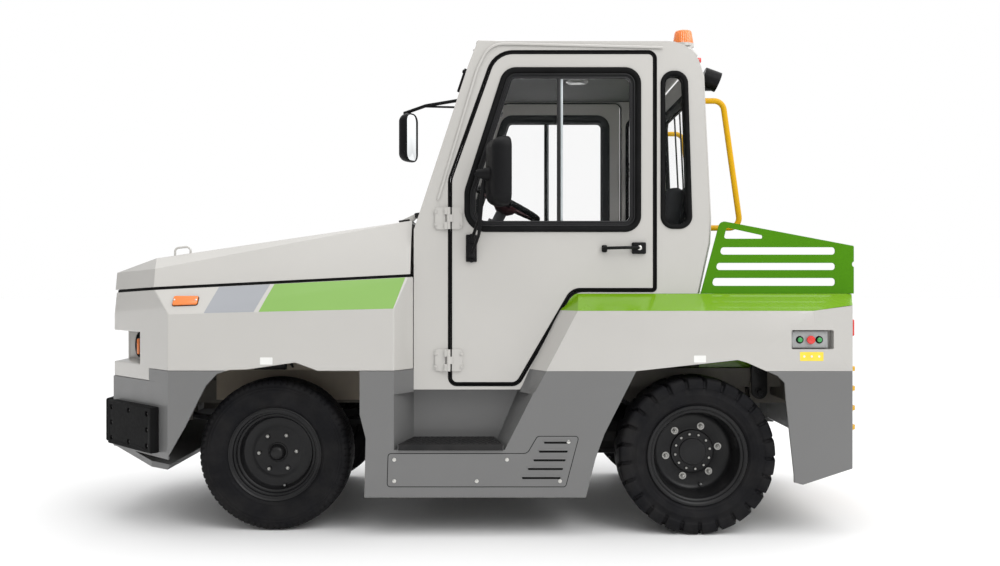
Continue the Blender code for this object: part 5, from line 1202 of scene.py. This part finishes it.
def control_recess():
    """The outside controls, in a recess in the left rear panel."""
    made = softened("left_rear_quarter", WHITE, 0.004)
    hole = rectangle((1.284, 1.4667), (0.8094, 0.8928), 0.008)
    carve(made, 35, slab(hole, "X", 0.7, 0.8))
    wall_in = [(0.0, 0.7485), (0.0, 0.699), (0.004, 0.699), (0.004, 0.7375), (0.004, 0.7485)]
    tray = frame_ring(grown(hole, -0.0005), "X", wall_in)
    back = slab(grown(hole, 0.003), "X", 0.696, 0.6992)
    piece("control_tray", join(tray, back), WHITE, crease=30)
    case = block((0.6995, 0.73), (1.288, 1.448), (0.814, 0.888), 0.004, 3)
    piece("control_box", case, CASE_GREY)
    lid = [block((0.7295, 0.7312), (1.293, 1.443), (0.8185, 0.8835), 0.0008)]
    for y in (1.2965, 1.4395):
        for z in (0.822, 0.88):
            lid.append(lathe([(0, 0), (0, 0.0034), (0.0014, 0.003), (0.0014, 0)], (0.731, y, z), (1, 0, 0),
                12))
    piece("control_box_lid", join(*lid), CASE_GREY)
    rings, greens = [], []
    for y in (1.3248, 1.4087):
        rings.append(lathe([(0, 0), (0, 0.0165), (0.003, 0.016), (0.005, 0.014), (0.005, 0)],
            (0.731, y, 0.8498), (1, 0, 0), 32))
        greens.append(lathe([(0, 0), (0, 0.0105), (0.005, 0.0102), (0.0064, 0.008), (0.0068, 0)],
            (0.7355, y, 0.8498), (1, 0, 0), 32))
    rings.append(lathe([(0, 0), (0, 0.015), (0.006, 0.0135), (0.006, 0)], (0.731, 1.37, 0.8498), (1, 0, 0),
        32))
    piece("control_button_rings", join(*rings), PLASTIC)
    piece("control_button_green", join(*greens), BUTTON_GREEN)
    red = lathe([(0, 0), (0, 0.01), (0.006, 0.0105), (0.0075, 0.018), (0.011, 0.0185), (0.014, 0.016),
        (0.0155, 0.009), (0.0158, 0)], (0.733, 1.37, 0.8498), (1, 0, 0), 36)
    piece("control_button_red", red, RED)
    tag = rectangle((1.3205, 1.4216), (0.7595, 0.7982), 0.003)
    piece("control_label", applied("left_rear_quarter", 1, tag, STICKER), LABEL_YELLOW)
    dots = [applied("left_rear_quarter", 1, rounded([(y - 0.0065, 0.779), (y, 0.7725), (y + 0.0065, 0.779),
        (y, 0.7855)], 0.004, 3), ((0, 0.0002), (0, 0.0006))) for y in (1.339, 1.371, 1.403)]
    piece("control_label_marks", join(*dots), LABEL_WHITE)


control_recess()
for word, side in SIDES:
    step(word, side)
    skirt_details(word, side)
    labels(word, side)

# ---------------------------------------------------------------- mirrors, beacon, lamps, rails


def mirror_head(x, y, z, turn):
    """A rounded mirror housing with a crowned back, and its glass, turned toward the driver."""
    layers = ((0.0, 0.046), (0.05, 0.032), (0.13, 0.02), (0.26, 0.011), (0.42, 0.005), (0.6, 0.0015),
        (0.78, 0.0), (0.93, 0.0005), (0.985, 0.003), (1.0, 0.0065), (0.965, 0.0085), (0.94, 0.01))
    outline = rectangle(x, z, 0.05, 9)
    rows = [[(a, y[0] + (y[1] - y[0]) * share, b) for a, b in grown(outline, -shrink)]
        for share, shrink in layers]
    glass_y = y[0] + (y[1] - y[0]) * 0.955
    glass = slab(grown(outline, -0.01), "Y", glass_y - 0.004, glass_y, 0.001)
    middle = Matrix.Translation(((x[0] + x[1]) / 2, (y[0] + y[1]) / 2, 0))
    swing = middle @ Matrix.Rotation(math.radians(turn), 4, "Z") @ middle.inverted()
    return moved(grid(rows, caps=True), swing), moved(glass, swing)


def mirrors():
    body = "left_door"
    low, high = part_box("left_mirror")
    arm_x = high.x - 0.095
    shell, glass = mirror_head((high.x - 0.186, high.x - 0.01), (-0.02, 0.058), (1.425, high.z), 17)
    piece("left_mirror_housing", shell, PLASTIC, body, crease=50, replaces=("left_mirror",))
    piece("left_mirror_glass", glass, MIRROR, body)
    foot = [block((0.6452, 0.658), (-0.12, -0.072), (1.188, 1.308), 0.004, 3),
        block((0.656, 0.672), (-0.112, -0.08), (1.205, 1.29), 0.004, 3)]
    for level in (1.196, 1.3):
        foot.append(bolt((0.658, -0.096, level), (1, 0, 0), 0.012))
    for level in (1.215, 1.28):
        foot.append(tube([(0.664, -0.096, level), (arm_x - 0.01, -0.06, level + 0.09),
            (arm_x, -0.036, 1.57)], 0.0072, 0.03))
        foot.append(lathe([(-0.012, 0), (-0.012, 0.0125), (0.012, 0.0125), (0.012, 0)],
            (0.67, -0.094, level + 0.004), (0, 0, 1), 20))
    foot.append(lathe([(-0.06, 0), (-0.06, 0.015), (-0.054, 0.019), (-0.03, 0.021), (-0.022, 0.026),
        (-0.002, 0.03), (0.02, 0.026), (0.02, 0)], (arm_x, -0.014, 1.562), (0, 1, 0), 32))
    foot.append(bolt((arm_x, -0.072, 1.562), (0, -1, 0), 0.011))
    piece("left_mirror_arms", join(*foot), PLASTIC, body, crease=40)
    low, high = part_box("right_mirror")
    reach = low.x + 0.07
    shell, glass = mirror_head((low.x + 0.006, low.x + 0.136), (-0.552, -0.477), (1.802, 2.088), -27)
    piece("right_mirror_housing", shell, PLASTIC, crease=50, replaces=("right_mirror",))
    piece("right_mirror_glass", glass, MIRROR)
    arms = [block((-0.6545, -0.6402), (-0.047, 0.017), (2.083, 2.152), 0.004, 3),
        tube([(-0.652, -0.02, 2.135), (-0.69, -0.19, 2.15), (-0.74, -0.4, 2.125), (reach, -0.525, 2.092)],
        0.0098, 0.05), tube([(-0.649, -0.01, 2.1), (-0.7, -0.19, 2.108), (-0.745, -0.41, 2.121)], 0.006,
        0.05)]
    for y, z in ((-0.036, 2.142), (0.006, 2.142), (-0.036, 2.092), (0.006, 2.092)):
        arms.append(bolt((-0.6545, y, z), (-1, 0, 0), 0.01))
    arms.append(lathe([(-0.02, 0), (-0.02, 0.017), (0.02, 0.017), (0.02, 0)], (reach, -0.52, 2.078),
        (0, 0, 1), 24))
    piece("right_mirror_arms", join(*arms), PLASTIC, crease=40)


def ribbed_dome(profile, centre, ribs, depth, each=8):
    steps = ribs * each
    rows = []
    for height, radius in profile:
        row = []
        for k in range(steps):
            turn = 2 * math.pi * k / steps
            out = max(1e-5, radius - depth * (0.5 - 0.5 * math.cos(2 * math.pi * k / each)) * min(1.0,
                radius / 0.03))
            row.append((centre[0] + out * math.cos(turn), centre[1] + out * math.sin(turn),
                centre[2] + height))
        rows.append(row)
    return grid(rows, caps=True)


def lamps():
    low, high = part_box("beacon")
    x, y = (low.x + high.x) / 2, 0.864
    top = high.z - ROOF_Z
    dome = [(0.018, 0), (0.018, 0.0462), (0.024, 0.0462), (0.044, 0.043), (top - 0.01, 0.0385),
        (top - 0.004, 0.0355), (top - 0.001, 0.028), (top - 0.0002, 0)]
    piece("beacon_lens", ribbed_dome(dome, (x, y, ROOF_Z), 30, 0.0016), AMBER, crease=45,
        replaces=("beacon",))
    core = lathe([(0.012, 0), (0.012, 0.02), (0.05, 0.018), (0.06, 0.012), (0.06, 0)], (x, y, ROOF_Z),
        (0, 0, 1), 24)
    piece("beacon_core", core, ZINC)
    base = [lathe([(0.004, 0), (0.004, 0.0478), (0.017, 0.0478), (0.0195, 0.045), (0.0195, 0)],
        (x, y, ROOF_Z), (0, 0, 1), 48)]
    wedge = [(0.803, ROOF_Z + 0.0005), (0.84, ROOF_Z - 0.0035), (0.892, ROOF_Z - 0.022),
        (0.899, ROOF_Z + 0.008), (0.82, ROOF_Z + 0.01)]
    base.append(slab(rounded(wedge, 0.002, 2), "X", x - 0.036, x + 0.036, 0.002))
    piece("beacon_base", join(*base), WHITE)
    node = "rear_work_light"
    softened(node, PLASTIC, 0.004)
    x = 0.43
    axis = Vector((0, 0.068, -0.027)).normalized()
    head = Vector((x, 0.967, 2.05)) + axis * 0.0725
    piece("work_light_lens", lathe([(-0.004, 0), (-0.004, 0.0385), (0.001, 0.038), (0.0026, 0.025),
        (0.003, 0)], head, axis, 40), LENS)
    visor = ring_lathe([(-0.07, 0.0445), (-0.02, 0.046), (0.004, 0.0462), (0.004, 0.044), (-0.07, 0.0425)],
        head, axis, 48)
    piece("work_light_rim", visor, PLASTIC)
    marker = block((x - 0.03, x + 0.03), (0.93, 0.956), (2.108, 2.132), 0.006, 3)
    piece("rear_marker_lamp", marker, RED)
    cable = tube([(x, 0.968, 1.936), (x, 0.962, 1.9), (x, 0.974, 1.7), (x, 0.98, 1.48), (x, 0.983, 1.37),
        (x, 0.98, 1.3)], 0.0042, 0.05)
    plug = block((x - 0.01, x + 0.01), (0.969, 0.99), (1.262, 1.306), 0.003)
    piece("work_light_wire", join(cable, plug), RUBBER_AND_SHADE)
    tail_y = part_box("tail_plate")[1].y
    for word, side in SIDES:
        for name, x0, x1, material in (("tail_lamp", 0.5255, 0.5825, RED),
            ("rear_turn_lamp", 0.4675, 0.5245, AMBER)):
            lens = block((x0, x1), (tail_y - 0.0215, tail_y + 0.0045), (0.8575, 0.9325), 0.006, 3)
            piece(f"{word}_{name}", mirrored(lens, side), material)
        reflector = mirrored(lathe([(0, 0), (0, 0.03), (0.004, 0.03), (0.007, 0.026), (0.008, 0)],
            (0.52, tail_y - 0.0217, 0.78), (0, 1, 0), 32), side)
        piece(f"{word}_reflector", reflector, RED)


def grab_rails():
    for word, side in SIDES:
        node = f"{word}_grab_rail"
        x = 0.5
        upper, lower = 0.949, 0.9755
        rail = tube([(x, upper, 1.924), (x, 1.044, 1.924), (x, 1.125, 1.3455), (x, lower, 1.3455)], 0.013,
            0.045, 28)
        feet = [lathe([(0.0003, 0), (0.0003, 0.026), (0.0045, 0.0258), (0.006, 0.0235), (0.0075, 0.015),
            (0.0075, 0)], (x, y, z), (0, 1, 0), 40) for y, z in ((upper - 0.0002, 1.924),
            (lower - 0.0005, 1.3455))]
        piece(f"{node}_tube", mirrored(join(rail, *feet), side), YELLOW, crease=45, replaces=(node,))


mirrors()
lamps()
grab_rails()

# ---------------------------------------------------------------- cab: seats, wheel, dashboard, fan

PUFF_CAP = 0.013  # how far a seat pad's skin may swell
PAD_VOXEL = 0.011
PAD_PRESSURE = 4.0


def swollen(solid, name):
    """A pad puffed up by a short cloth simulation from a slightly smaller closed form."""
    made = solid_object(name, solid)
    remesh = made.modifiers.new("even", "REMESH")
    remesh.mode = "VOXEL"
    remesh.voxel_size = PAD_VOXEL
    applied_modifiers(made)
    rest = [v.co.copy() for v in made.data.vertices]
    cloth = made.modifiers.new("cloth", "CLOTH")
    cloth.settings.use_pressure = True
    cloth.settings.uniform_pressure_force = PAD_PRESSURE
    cloth.settings.effector_weights.gravity = 0
    cloth.settings.quality = 5
    scene = bpy.context.scene
    for step in range(1, 21):
        scene.frame_set(step)
    graph = bpy.context.evaluated_depsgraph_get()
    final = bpy.data.meshes.new_from_object(made.evaluated_get(graph))
    scene.frame_set(1)
    made.modifiers.clear()
    for v, start in zip(final.vertices, rest):
        shift = v.co - start
        if shift.length > PUFF_CAP:
            v.co = start + shift.normalized() * PUFF_CAP
    made.data = final
    smooth = made.modifiers.new("smooth", "SUBSURF")
    smooth.levels = 1
    smooth.render_levels = 1
    applied_modifiers(made)
    solid = [tuple(v.co) for v in made.data.vertices], [tuple(f.vertices) for f in made.data.polygons]
    bpy.data.objects.remove(made)
    return solid


def pad(name, solid, node):
    solid = swollen(solid, name + "_form")
    made = piece(name, solid, SEAT_CLOTH, crease=60, replaces=(node,))


def waisted(low, high, pull, steps=12):
    """A rectangle whose sides pull in a little between its corners, as a stuffed pad's do."""
    corners = [(low[0], low[1]), (high[0], low[1]), (high[0], high[1]), (low[0], high[1])]
    made = []
    for i, start in enumerate(corners):
        end = corners[(i + 1) % 4]
        run = Vector(end) - Vector(start)
        inward = Vector((-run.y, run.x)).normalized()
        for k in range(steps):
            share = k / steps
            at = Vector(start).lerp(Vector(end), share) + inward * (pull * 4 * share * (1 - share))
            made.append(tuple(at))
    return rounded(made, 0.02, 1)


def seat(node, centre):
    half = 0.226
    lean = math.radians(-4)
    rows = []
    for height, shrink in ((0.0, 0.022), (0.014, 0.006), (0.04, 0.0), (0.072, 0.0), (0.092, 0.008),
        (0.104, 0.03)):
        outline = grown(waisted((centre - half, 0.356), (centre + half, 0.8), 0.006), -shrink)
        rows.append([(a, b, 0.972 + height + (0.8 - b) * math.tan(-lean)) for a, b in outline])
    pad(f"{node}_cushion", grid(rows, caps=True), node)
    rows = []
    for depth, shrink in ((0.0, 0.026), (0.012, 0.008), (0.036, 0.0), (0.062, 0.0), (0.082, 0.008),
        (0.092, 0.028)):
        outline = grown(waisted((centre - half + 0.012, 1.06), (centre + half - 0.012, 1.545), 0.008),
            -shrink)
        rows.append([(a, 0.735 + depth + (b - 1.06) * 0.105, b) for a, b in outline])
    pad(f"{node}_back", grid(rows, caps=True), node)
    # Black tubes along the seams: the stitched seams, with the shade of their creases painted in.
    for k, x in enumerate((-0.105, 0.105)):
        path = [(centre + x, 0.7335 + (b - 1.06) * 0.105 - 0.006, b) for b in (1.1, 1.2, 1.32, 1.42, 1.5)]
        piece(f"{node}_back_seam_{k + 1}", tube(path, 0.0026, 0.02, 8), RUBBER_AND_SHADE)
        path = [(centre + x, b, 1.086 + (0.8 - b) * math.tan(-lean)) for b in (0.4, 0.5, 0.62, 0.72)]
        piece(f"{node}_cushion_seam_{k + 1}", tube(path, 0.0026, 0.02, 8), RUBBER_AND_SHADE)
    pan = block((centre - 0.205, centre + 0.205), (0.375, 0.79), (0.945, 0.975), 0.008)
    base = block((centre - 0.18, centre + 0.18), (0.4, 0.76), (0.8805, 0.947), 0.006)
    shell = [(0.812, 1.04), (0.842, 1.04), (0.888, 1.53), (0.872, 1.53)]
    back = slab(rounded(shell, 0.006, 3), "X", centre - 0.19, centre + 0.19, 0.005)
    rails = [block((centre + s * 0.16 - 0.012, centre + s * 0.16 + 0.012), (0.37, 0.8), (0.8802, 0.902),
        0.002) for s in (-1, 1)]
    piece(f"{node}_shell", join(pan, base, back, *rails), PLASTIC)


COLUMN_LEAN = math.radians(27)
STEERING_CENTRE = Vector((0.28, 0.06, 1.475))
STEERING_RADIUS, GRIP_RADIUS = 0.18, 0.0128


def steering():
    axis = Vector((0, math.sin(COLUMN_LEAN), math.cos(COLUMN_LEAN))).normalized()
    centre = STEERING_CENTRE
    body = NODES["steering_wheel"]["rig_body"]
    along, across, other = axes_for(axis)
    radius = STEERING_RADIUS - GRIP_RADIUS - 0.0007
    turns = [2 * math.pi * k / 72 for k in range(72)]
    rim = [centre + (across * math.cos(t) + other * math.sin(t)) * radius for t in turns]
    rows = []
    for k, t in enumerate(turns):
        out = across * math.cos(t) + other * math.sin(t)
        grip = GRIP_RADIUS + (0.0007 if k % 3 else 0.0)
        rows.append([rim[k] + (out * math.cos(a) + along * math.sin(a) * 1.05) * grip
            for a in (2 * math.pi * i / 14 for i in range(14))])
    piece("steering_wheel_rim", grid(rows, closed_along=True), PLASTIC, body, crease=60,
        replaces=("steering_wheel",))
    hub = lathe([(-0.04, 0), (-0.04, 0.03), (-0.022, 0.052), (-0.004, 0.06), (0.012, 0.058), (0.02, 0.048),
        (0.023, 0.026), (0.024, 0)], centre - axis * 0.012, axis, 48)
    spokes = []
    for angle in (90, 210, 330):
        t = math.radians(angle)
        out = across * math.cos(t) + other * math.sin(t)
        wide = along.cross(out)
        path = [centre + out * r + axis * drop for r, drop in ((0.04, -0.012), (0.085, -0.01),
            (0.13, -0.004), (0.166, 0.0))]
        rows = []
        for p, half, thick in zip(path, (0.034, 0.024, 0.017, 0.014), (0.01, 0.008, 0.0065, 0.006)):
            rows.append([p + wide * half, p + axis * thick + wide * half * 0.8,
                p + axis * thick - wide * half * 0.8, p - wide * half,
                p - axis * thick - wide * half * 0.7, p - axis * thick + wide * half * 0.7])
        spokes.append(grid(rows, caps=True))
    piece("steering_wheel_hub", join(hub, *spokes), MAROON, body, crease=40)


def dashboard():
    softened("dashboard", TRIM, 0.008)
    cluster = block((0.13, 0.43), (-0.215, -0.15), (1.29, 1.338), 0.012, 3)
    piece("instrument_hood", cluster, TRIM)
    face = block((0.15, 0.41), (-0.152, -0.1475), (1.296, 1.332), 0.002)
    piece("instrument_face", face, PLASTIC)
    dials = []
    for x in (0.195, 0.28, 0.365):
        dials.append(ring_lathe([(0.0, 0.0155), (0.003, 0.0165), (0.003, 0.014), (0.0, 0.014)],
            (x, -0.1478, 1.314), (0, 1, 0), 32))
    piece("instrument_rings", join(*dials), ZINC)
    switches = [block((x, x + 0.022), (-0.128, -0.116), (1.15, 1.185), 0.003)
        for x in (-0.1, -0.065, -0.03, 0.005, 0.04)]
    piece("dash_switches", join(*switches), PLASTIC)
    stalk = tube([(0.25, 0.0, 1.4), (0.19, 0.01, 1.412), (0.14, 0.025, 1.425)], 0.006, 0.01)
    piece("column_stalk", stalk, PLASTIC)


def cab_mirror_and_fan():
    head = slab(rectangle((0.165, 0.345), (1.905, 1.975), 0.018, 5), "Y", 0.008, 0.026, 0.006, 3)
    middle = Matrix.Translation((0.255, 0.017, 1.94))
    tilt = Matrix.Rotation(math.radians(-10), 4, "Z") @ Matrix.Rotation(math.radians(12), 4, "X")
    turn = middle @ tilt @ middle.inverted()
    stalk = tube([(0.255, -0.01, 2.118), (0.255, -0.004, 2.03), (0.255, 0.01, 1.95)], 0.006, 0.02)
    glass = slab(rectangle((0.171, 0.339), (1.911, 1.969), 0.014, 5), "Y", 0.025, 0.0268)
    piece("cab_mirror", join(moved(head, turn), stalk), PLASTIC)
    piece("cab_mirror_glass", moved(glass, turn), MIRROR)
    centre = Vector((-0.5, 0.8, 1.72))
    axis = Vector((0.35, -1, -0.15)).normalized()
    along, across, other = axes_for(axis)
    wires = []
    for k in range(18):
        t = 2 * math.pi * k / 18
        out = across * math.cos(t) + other * math.sin(t)
        wires.append(tube([centre + out * 0.022 + axis * 0.038, centre + out * 0.06 + axis * 0.034,
            centre + out * 0.078 + axis * 0.012, centre + out * 0.076 - axis * 0.016,
            centre + out * 0.03 - axis * 0.03], 0.0014, 0.02, 6))
    for reach, lift in ((0.078, 0.01), (0.056, 0.035), (0.036, 0.0375)):
        wires.append(ring_lathe([(lift - 0.0018, reach), (lift, reach + 0.0018), (lift + 0.0018, reach),
            (lift, reach - 0.0018)], centre, axis, 40))
    motor = lathe([(-0.055, 0), (-0.055, 0.022), (-0.02, 0.026), (0.0, 0.022), (0.0, 0)], centre, axis, 28)
    cap = lathe([(0.036, 0), (0.036, 0.022), (0.041, 0.018), (0.041, 0)], centre, axis, 28)
    stand = tube([centre - axis * 0.04, centre + Vector((-0.03, 0.035, -0.075)), (-0.545, 0.878, 1.6)],
        0.008, 0.02)
    foot = block((-0.575, -0.515), (0.872, 0.884), (1.57, 1.63), 0.004)
    blades = []
    for k in range(4):
        t = math.pi / 2 * k
        out = across * math.cos(t) + other * math.sin(t)
        wide = along.cross(out)
        rows = [[centre + out * r + wide * w + axis * (0.016 + l)
            for w, l in ((-s, -0.008), (-s, -0.007), (s, 0.009), (s, 0.008))]
            for r, s in ((0.018, 0.01), (0.04, 0.022), (0.064, 0.026), (0.07, 0.02))]
        blades.append(grid(rows, caps=True))
    piece("cab_fan", join(motor, cap, stand, foot, *wires, *blades), PLASTIC)


seat("driver_seat", 0.29)
seat("passenger_seat", -0.29)
steering()
dashboard()
cab_mirror_and_fan()

# ---------------------------------------------------------------- wheel arches


def arch_details():
    for word, side in SIDES:
        liner = [slab(rectangle((-1.435, -0.64), (0.69, 0.742), 0.006, 3), "X", 0.401, 0.404, 0.001)]
        for y in (-1.3, -1.05, -0.8):
            liner.append(bolt((0.404, y, 0.716), (1, 0, 0), 0.012))
        piece(f"{word}_front_arch_panel", mirrored(join(*liner), side), BEIGE)
        loop = tube([(0.418, -0.98, 0.705), (0.428, -0.985, 0.72), (0.428, -0.96, 0.736),
            (0.428, -0.935, 0.72), (0.418, -0.93, 0.705)], 0.0055, 0.01)
        box = block((0.4045, 0.432), (-1.11, -0.96), (0.694, 0.73), 0.006)
        piece(f"{word}_arch_lug", mirrored(join(loop, box), side), BLACK_METAL)
        plates = []
        for x in (0.422, 0.439):
            outline = rectangle((1.19, 1.262), (0.56, 0.735), 0.034, 6)
            plates.append(slab(outline, "X", x, x + 0.007, 0.001))
        for z in (0.592, 0.702):
            plates.append(bolt((0.446, 1.226, z), (1, 0, 0), 0.024))
        piece(f"{word}_shackle", mirrored(join(*plates), side), BLACK_METAL)


arch_details()

# ---------------------------------------------------------------- camera, floor and light

CAMERA_PLACE = (5.0, 0.03, 1.095)
FOCAL_SHARE = 0.988  # focal length over the picture's width
SKY_LOW, SKY_HIGH = 0.62, 1.7  # at the horizon and overhead
SKY_NOSE, SKY_TAIL = 0.5, 1.5
FLOOR_TONE = 0.8
KEY_POWER = 120


def soft_sky():
    """A tent of light: brightest overhead, dimmer ahead of the nose. Where it's seen, it's plain white."""
    world = bpy.data.worlds.new("studio")
    world.use_nodes = True
    tree = world.node_tree
    background = tree.nodes["Background"]
    background.inputs["Color"].default_value = (1.0, 1.0, 1.0, 1.0)
    coords = tree.nodes.new("ShaderNodeTexCoord")
    axes = tree.nodes.new("ShaderNodeSeparateXYZ")
    tree.links.new(coords.outputs["Generated"], axes.inputs["Vector"])
    factors = []
    for axis, low, high, start in (("Z", SKY_LOW, SKY_HIGH, 0.0), ("Y", SKY_NOSE, SKY_TAIL, -1.0)):
        spread = tree.nodes.new("ShaderNodeMapRange")
        tree.links.new(axes.outputs[axis], spread.inputs["Value"])
        for name, value in (("From Min", start), ("From Max", 1.0), ("To Min", low), ("To Max", high)):
            spread.inputs[name].default_value = value
        factors.append(spread.outputs["Result"])
    product = tree.nodes.new("ShaderNodeMath")
    product.operation = "MULTIPLY"
    tree.links.new(factors[0], product.inputs[0])
    tree.links.new(factors[1], product.inputs[1])
    rays = tree.nodes.new("ShaderNodeLightPath")
    seen = tree.nodes.new("ShaderNodeMix")
    tree.links.new(rays.outputs["Is Camera Ray"], seen.inputs["Factor"])
    tree.links.new(product.outputs["Value"], seen.inputs["A"])
    seen.inputs["B"].default_value = 1.0
    tree.links.new(seen.outputs["Result"], background.inputs["Strength"])
    return world


def studio():
    camera = placed("camera", bpy.data.cameras.new("camera"))
    camera.location = CAMERA_PLACE
    camera.rotation_euler = (math.radians(90), 0, math.radians(90))
    camera.data.sensor_width = 36.0
    camera.data.lens = 36.0 * FOCAL_SHARE
    camera.data.clip_start = 0.05
    bpy.context.scene.camera = camera
    ground = Nodes("studio_floor")
    ground.link(ground.ramp(ground.noise(0.6, 2.0), [(0.3, (FLOOR_TONE,) * 3),
        (0.7, (FLOOR_TONE + 0.02,) * 3)]), ground.shader.inputs["Base Color"])
    ground.set(Roughness=0.8, Specular_IOR_Level=0.1)
    reach = 60.0
    mesh = bpy.data.meshes.new("studio_floor")
    mesh.from_pydata([(-reach, -reach, 0), (reach, -reach, 0), (reach, reach, 0), (-reach, reach, 0)], [],
        [(0, 1, 2, 3)])
    mesh.materials.append(ground.material)
    placed("studio_floor", mesh)
    bpy.context.scene.world = soft_sky()
    for name, place, size, power in (("key", (5.0, 3.2, 5.0), 3.5, KEY_POWER),
        ("top", (1.0, 0, 6.5), 4.5, 60), ("back", (-5.5, -1.0, 4.5), 4.0, 60)):
        light = placed(name, bpy.data.lights.new(name, "AREA"))
        light.data.size = size
        light.data.energy = power
        light.location = place
        light.rotation_euler = (Vector((0, 0, 0.9)) - Vector(place)).to_track_quat("-Z", "Y").to_euler()
    bpy.context.scene.view_settings.view_transform = "Standard"


studio()
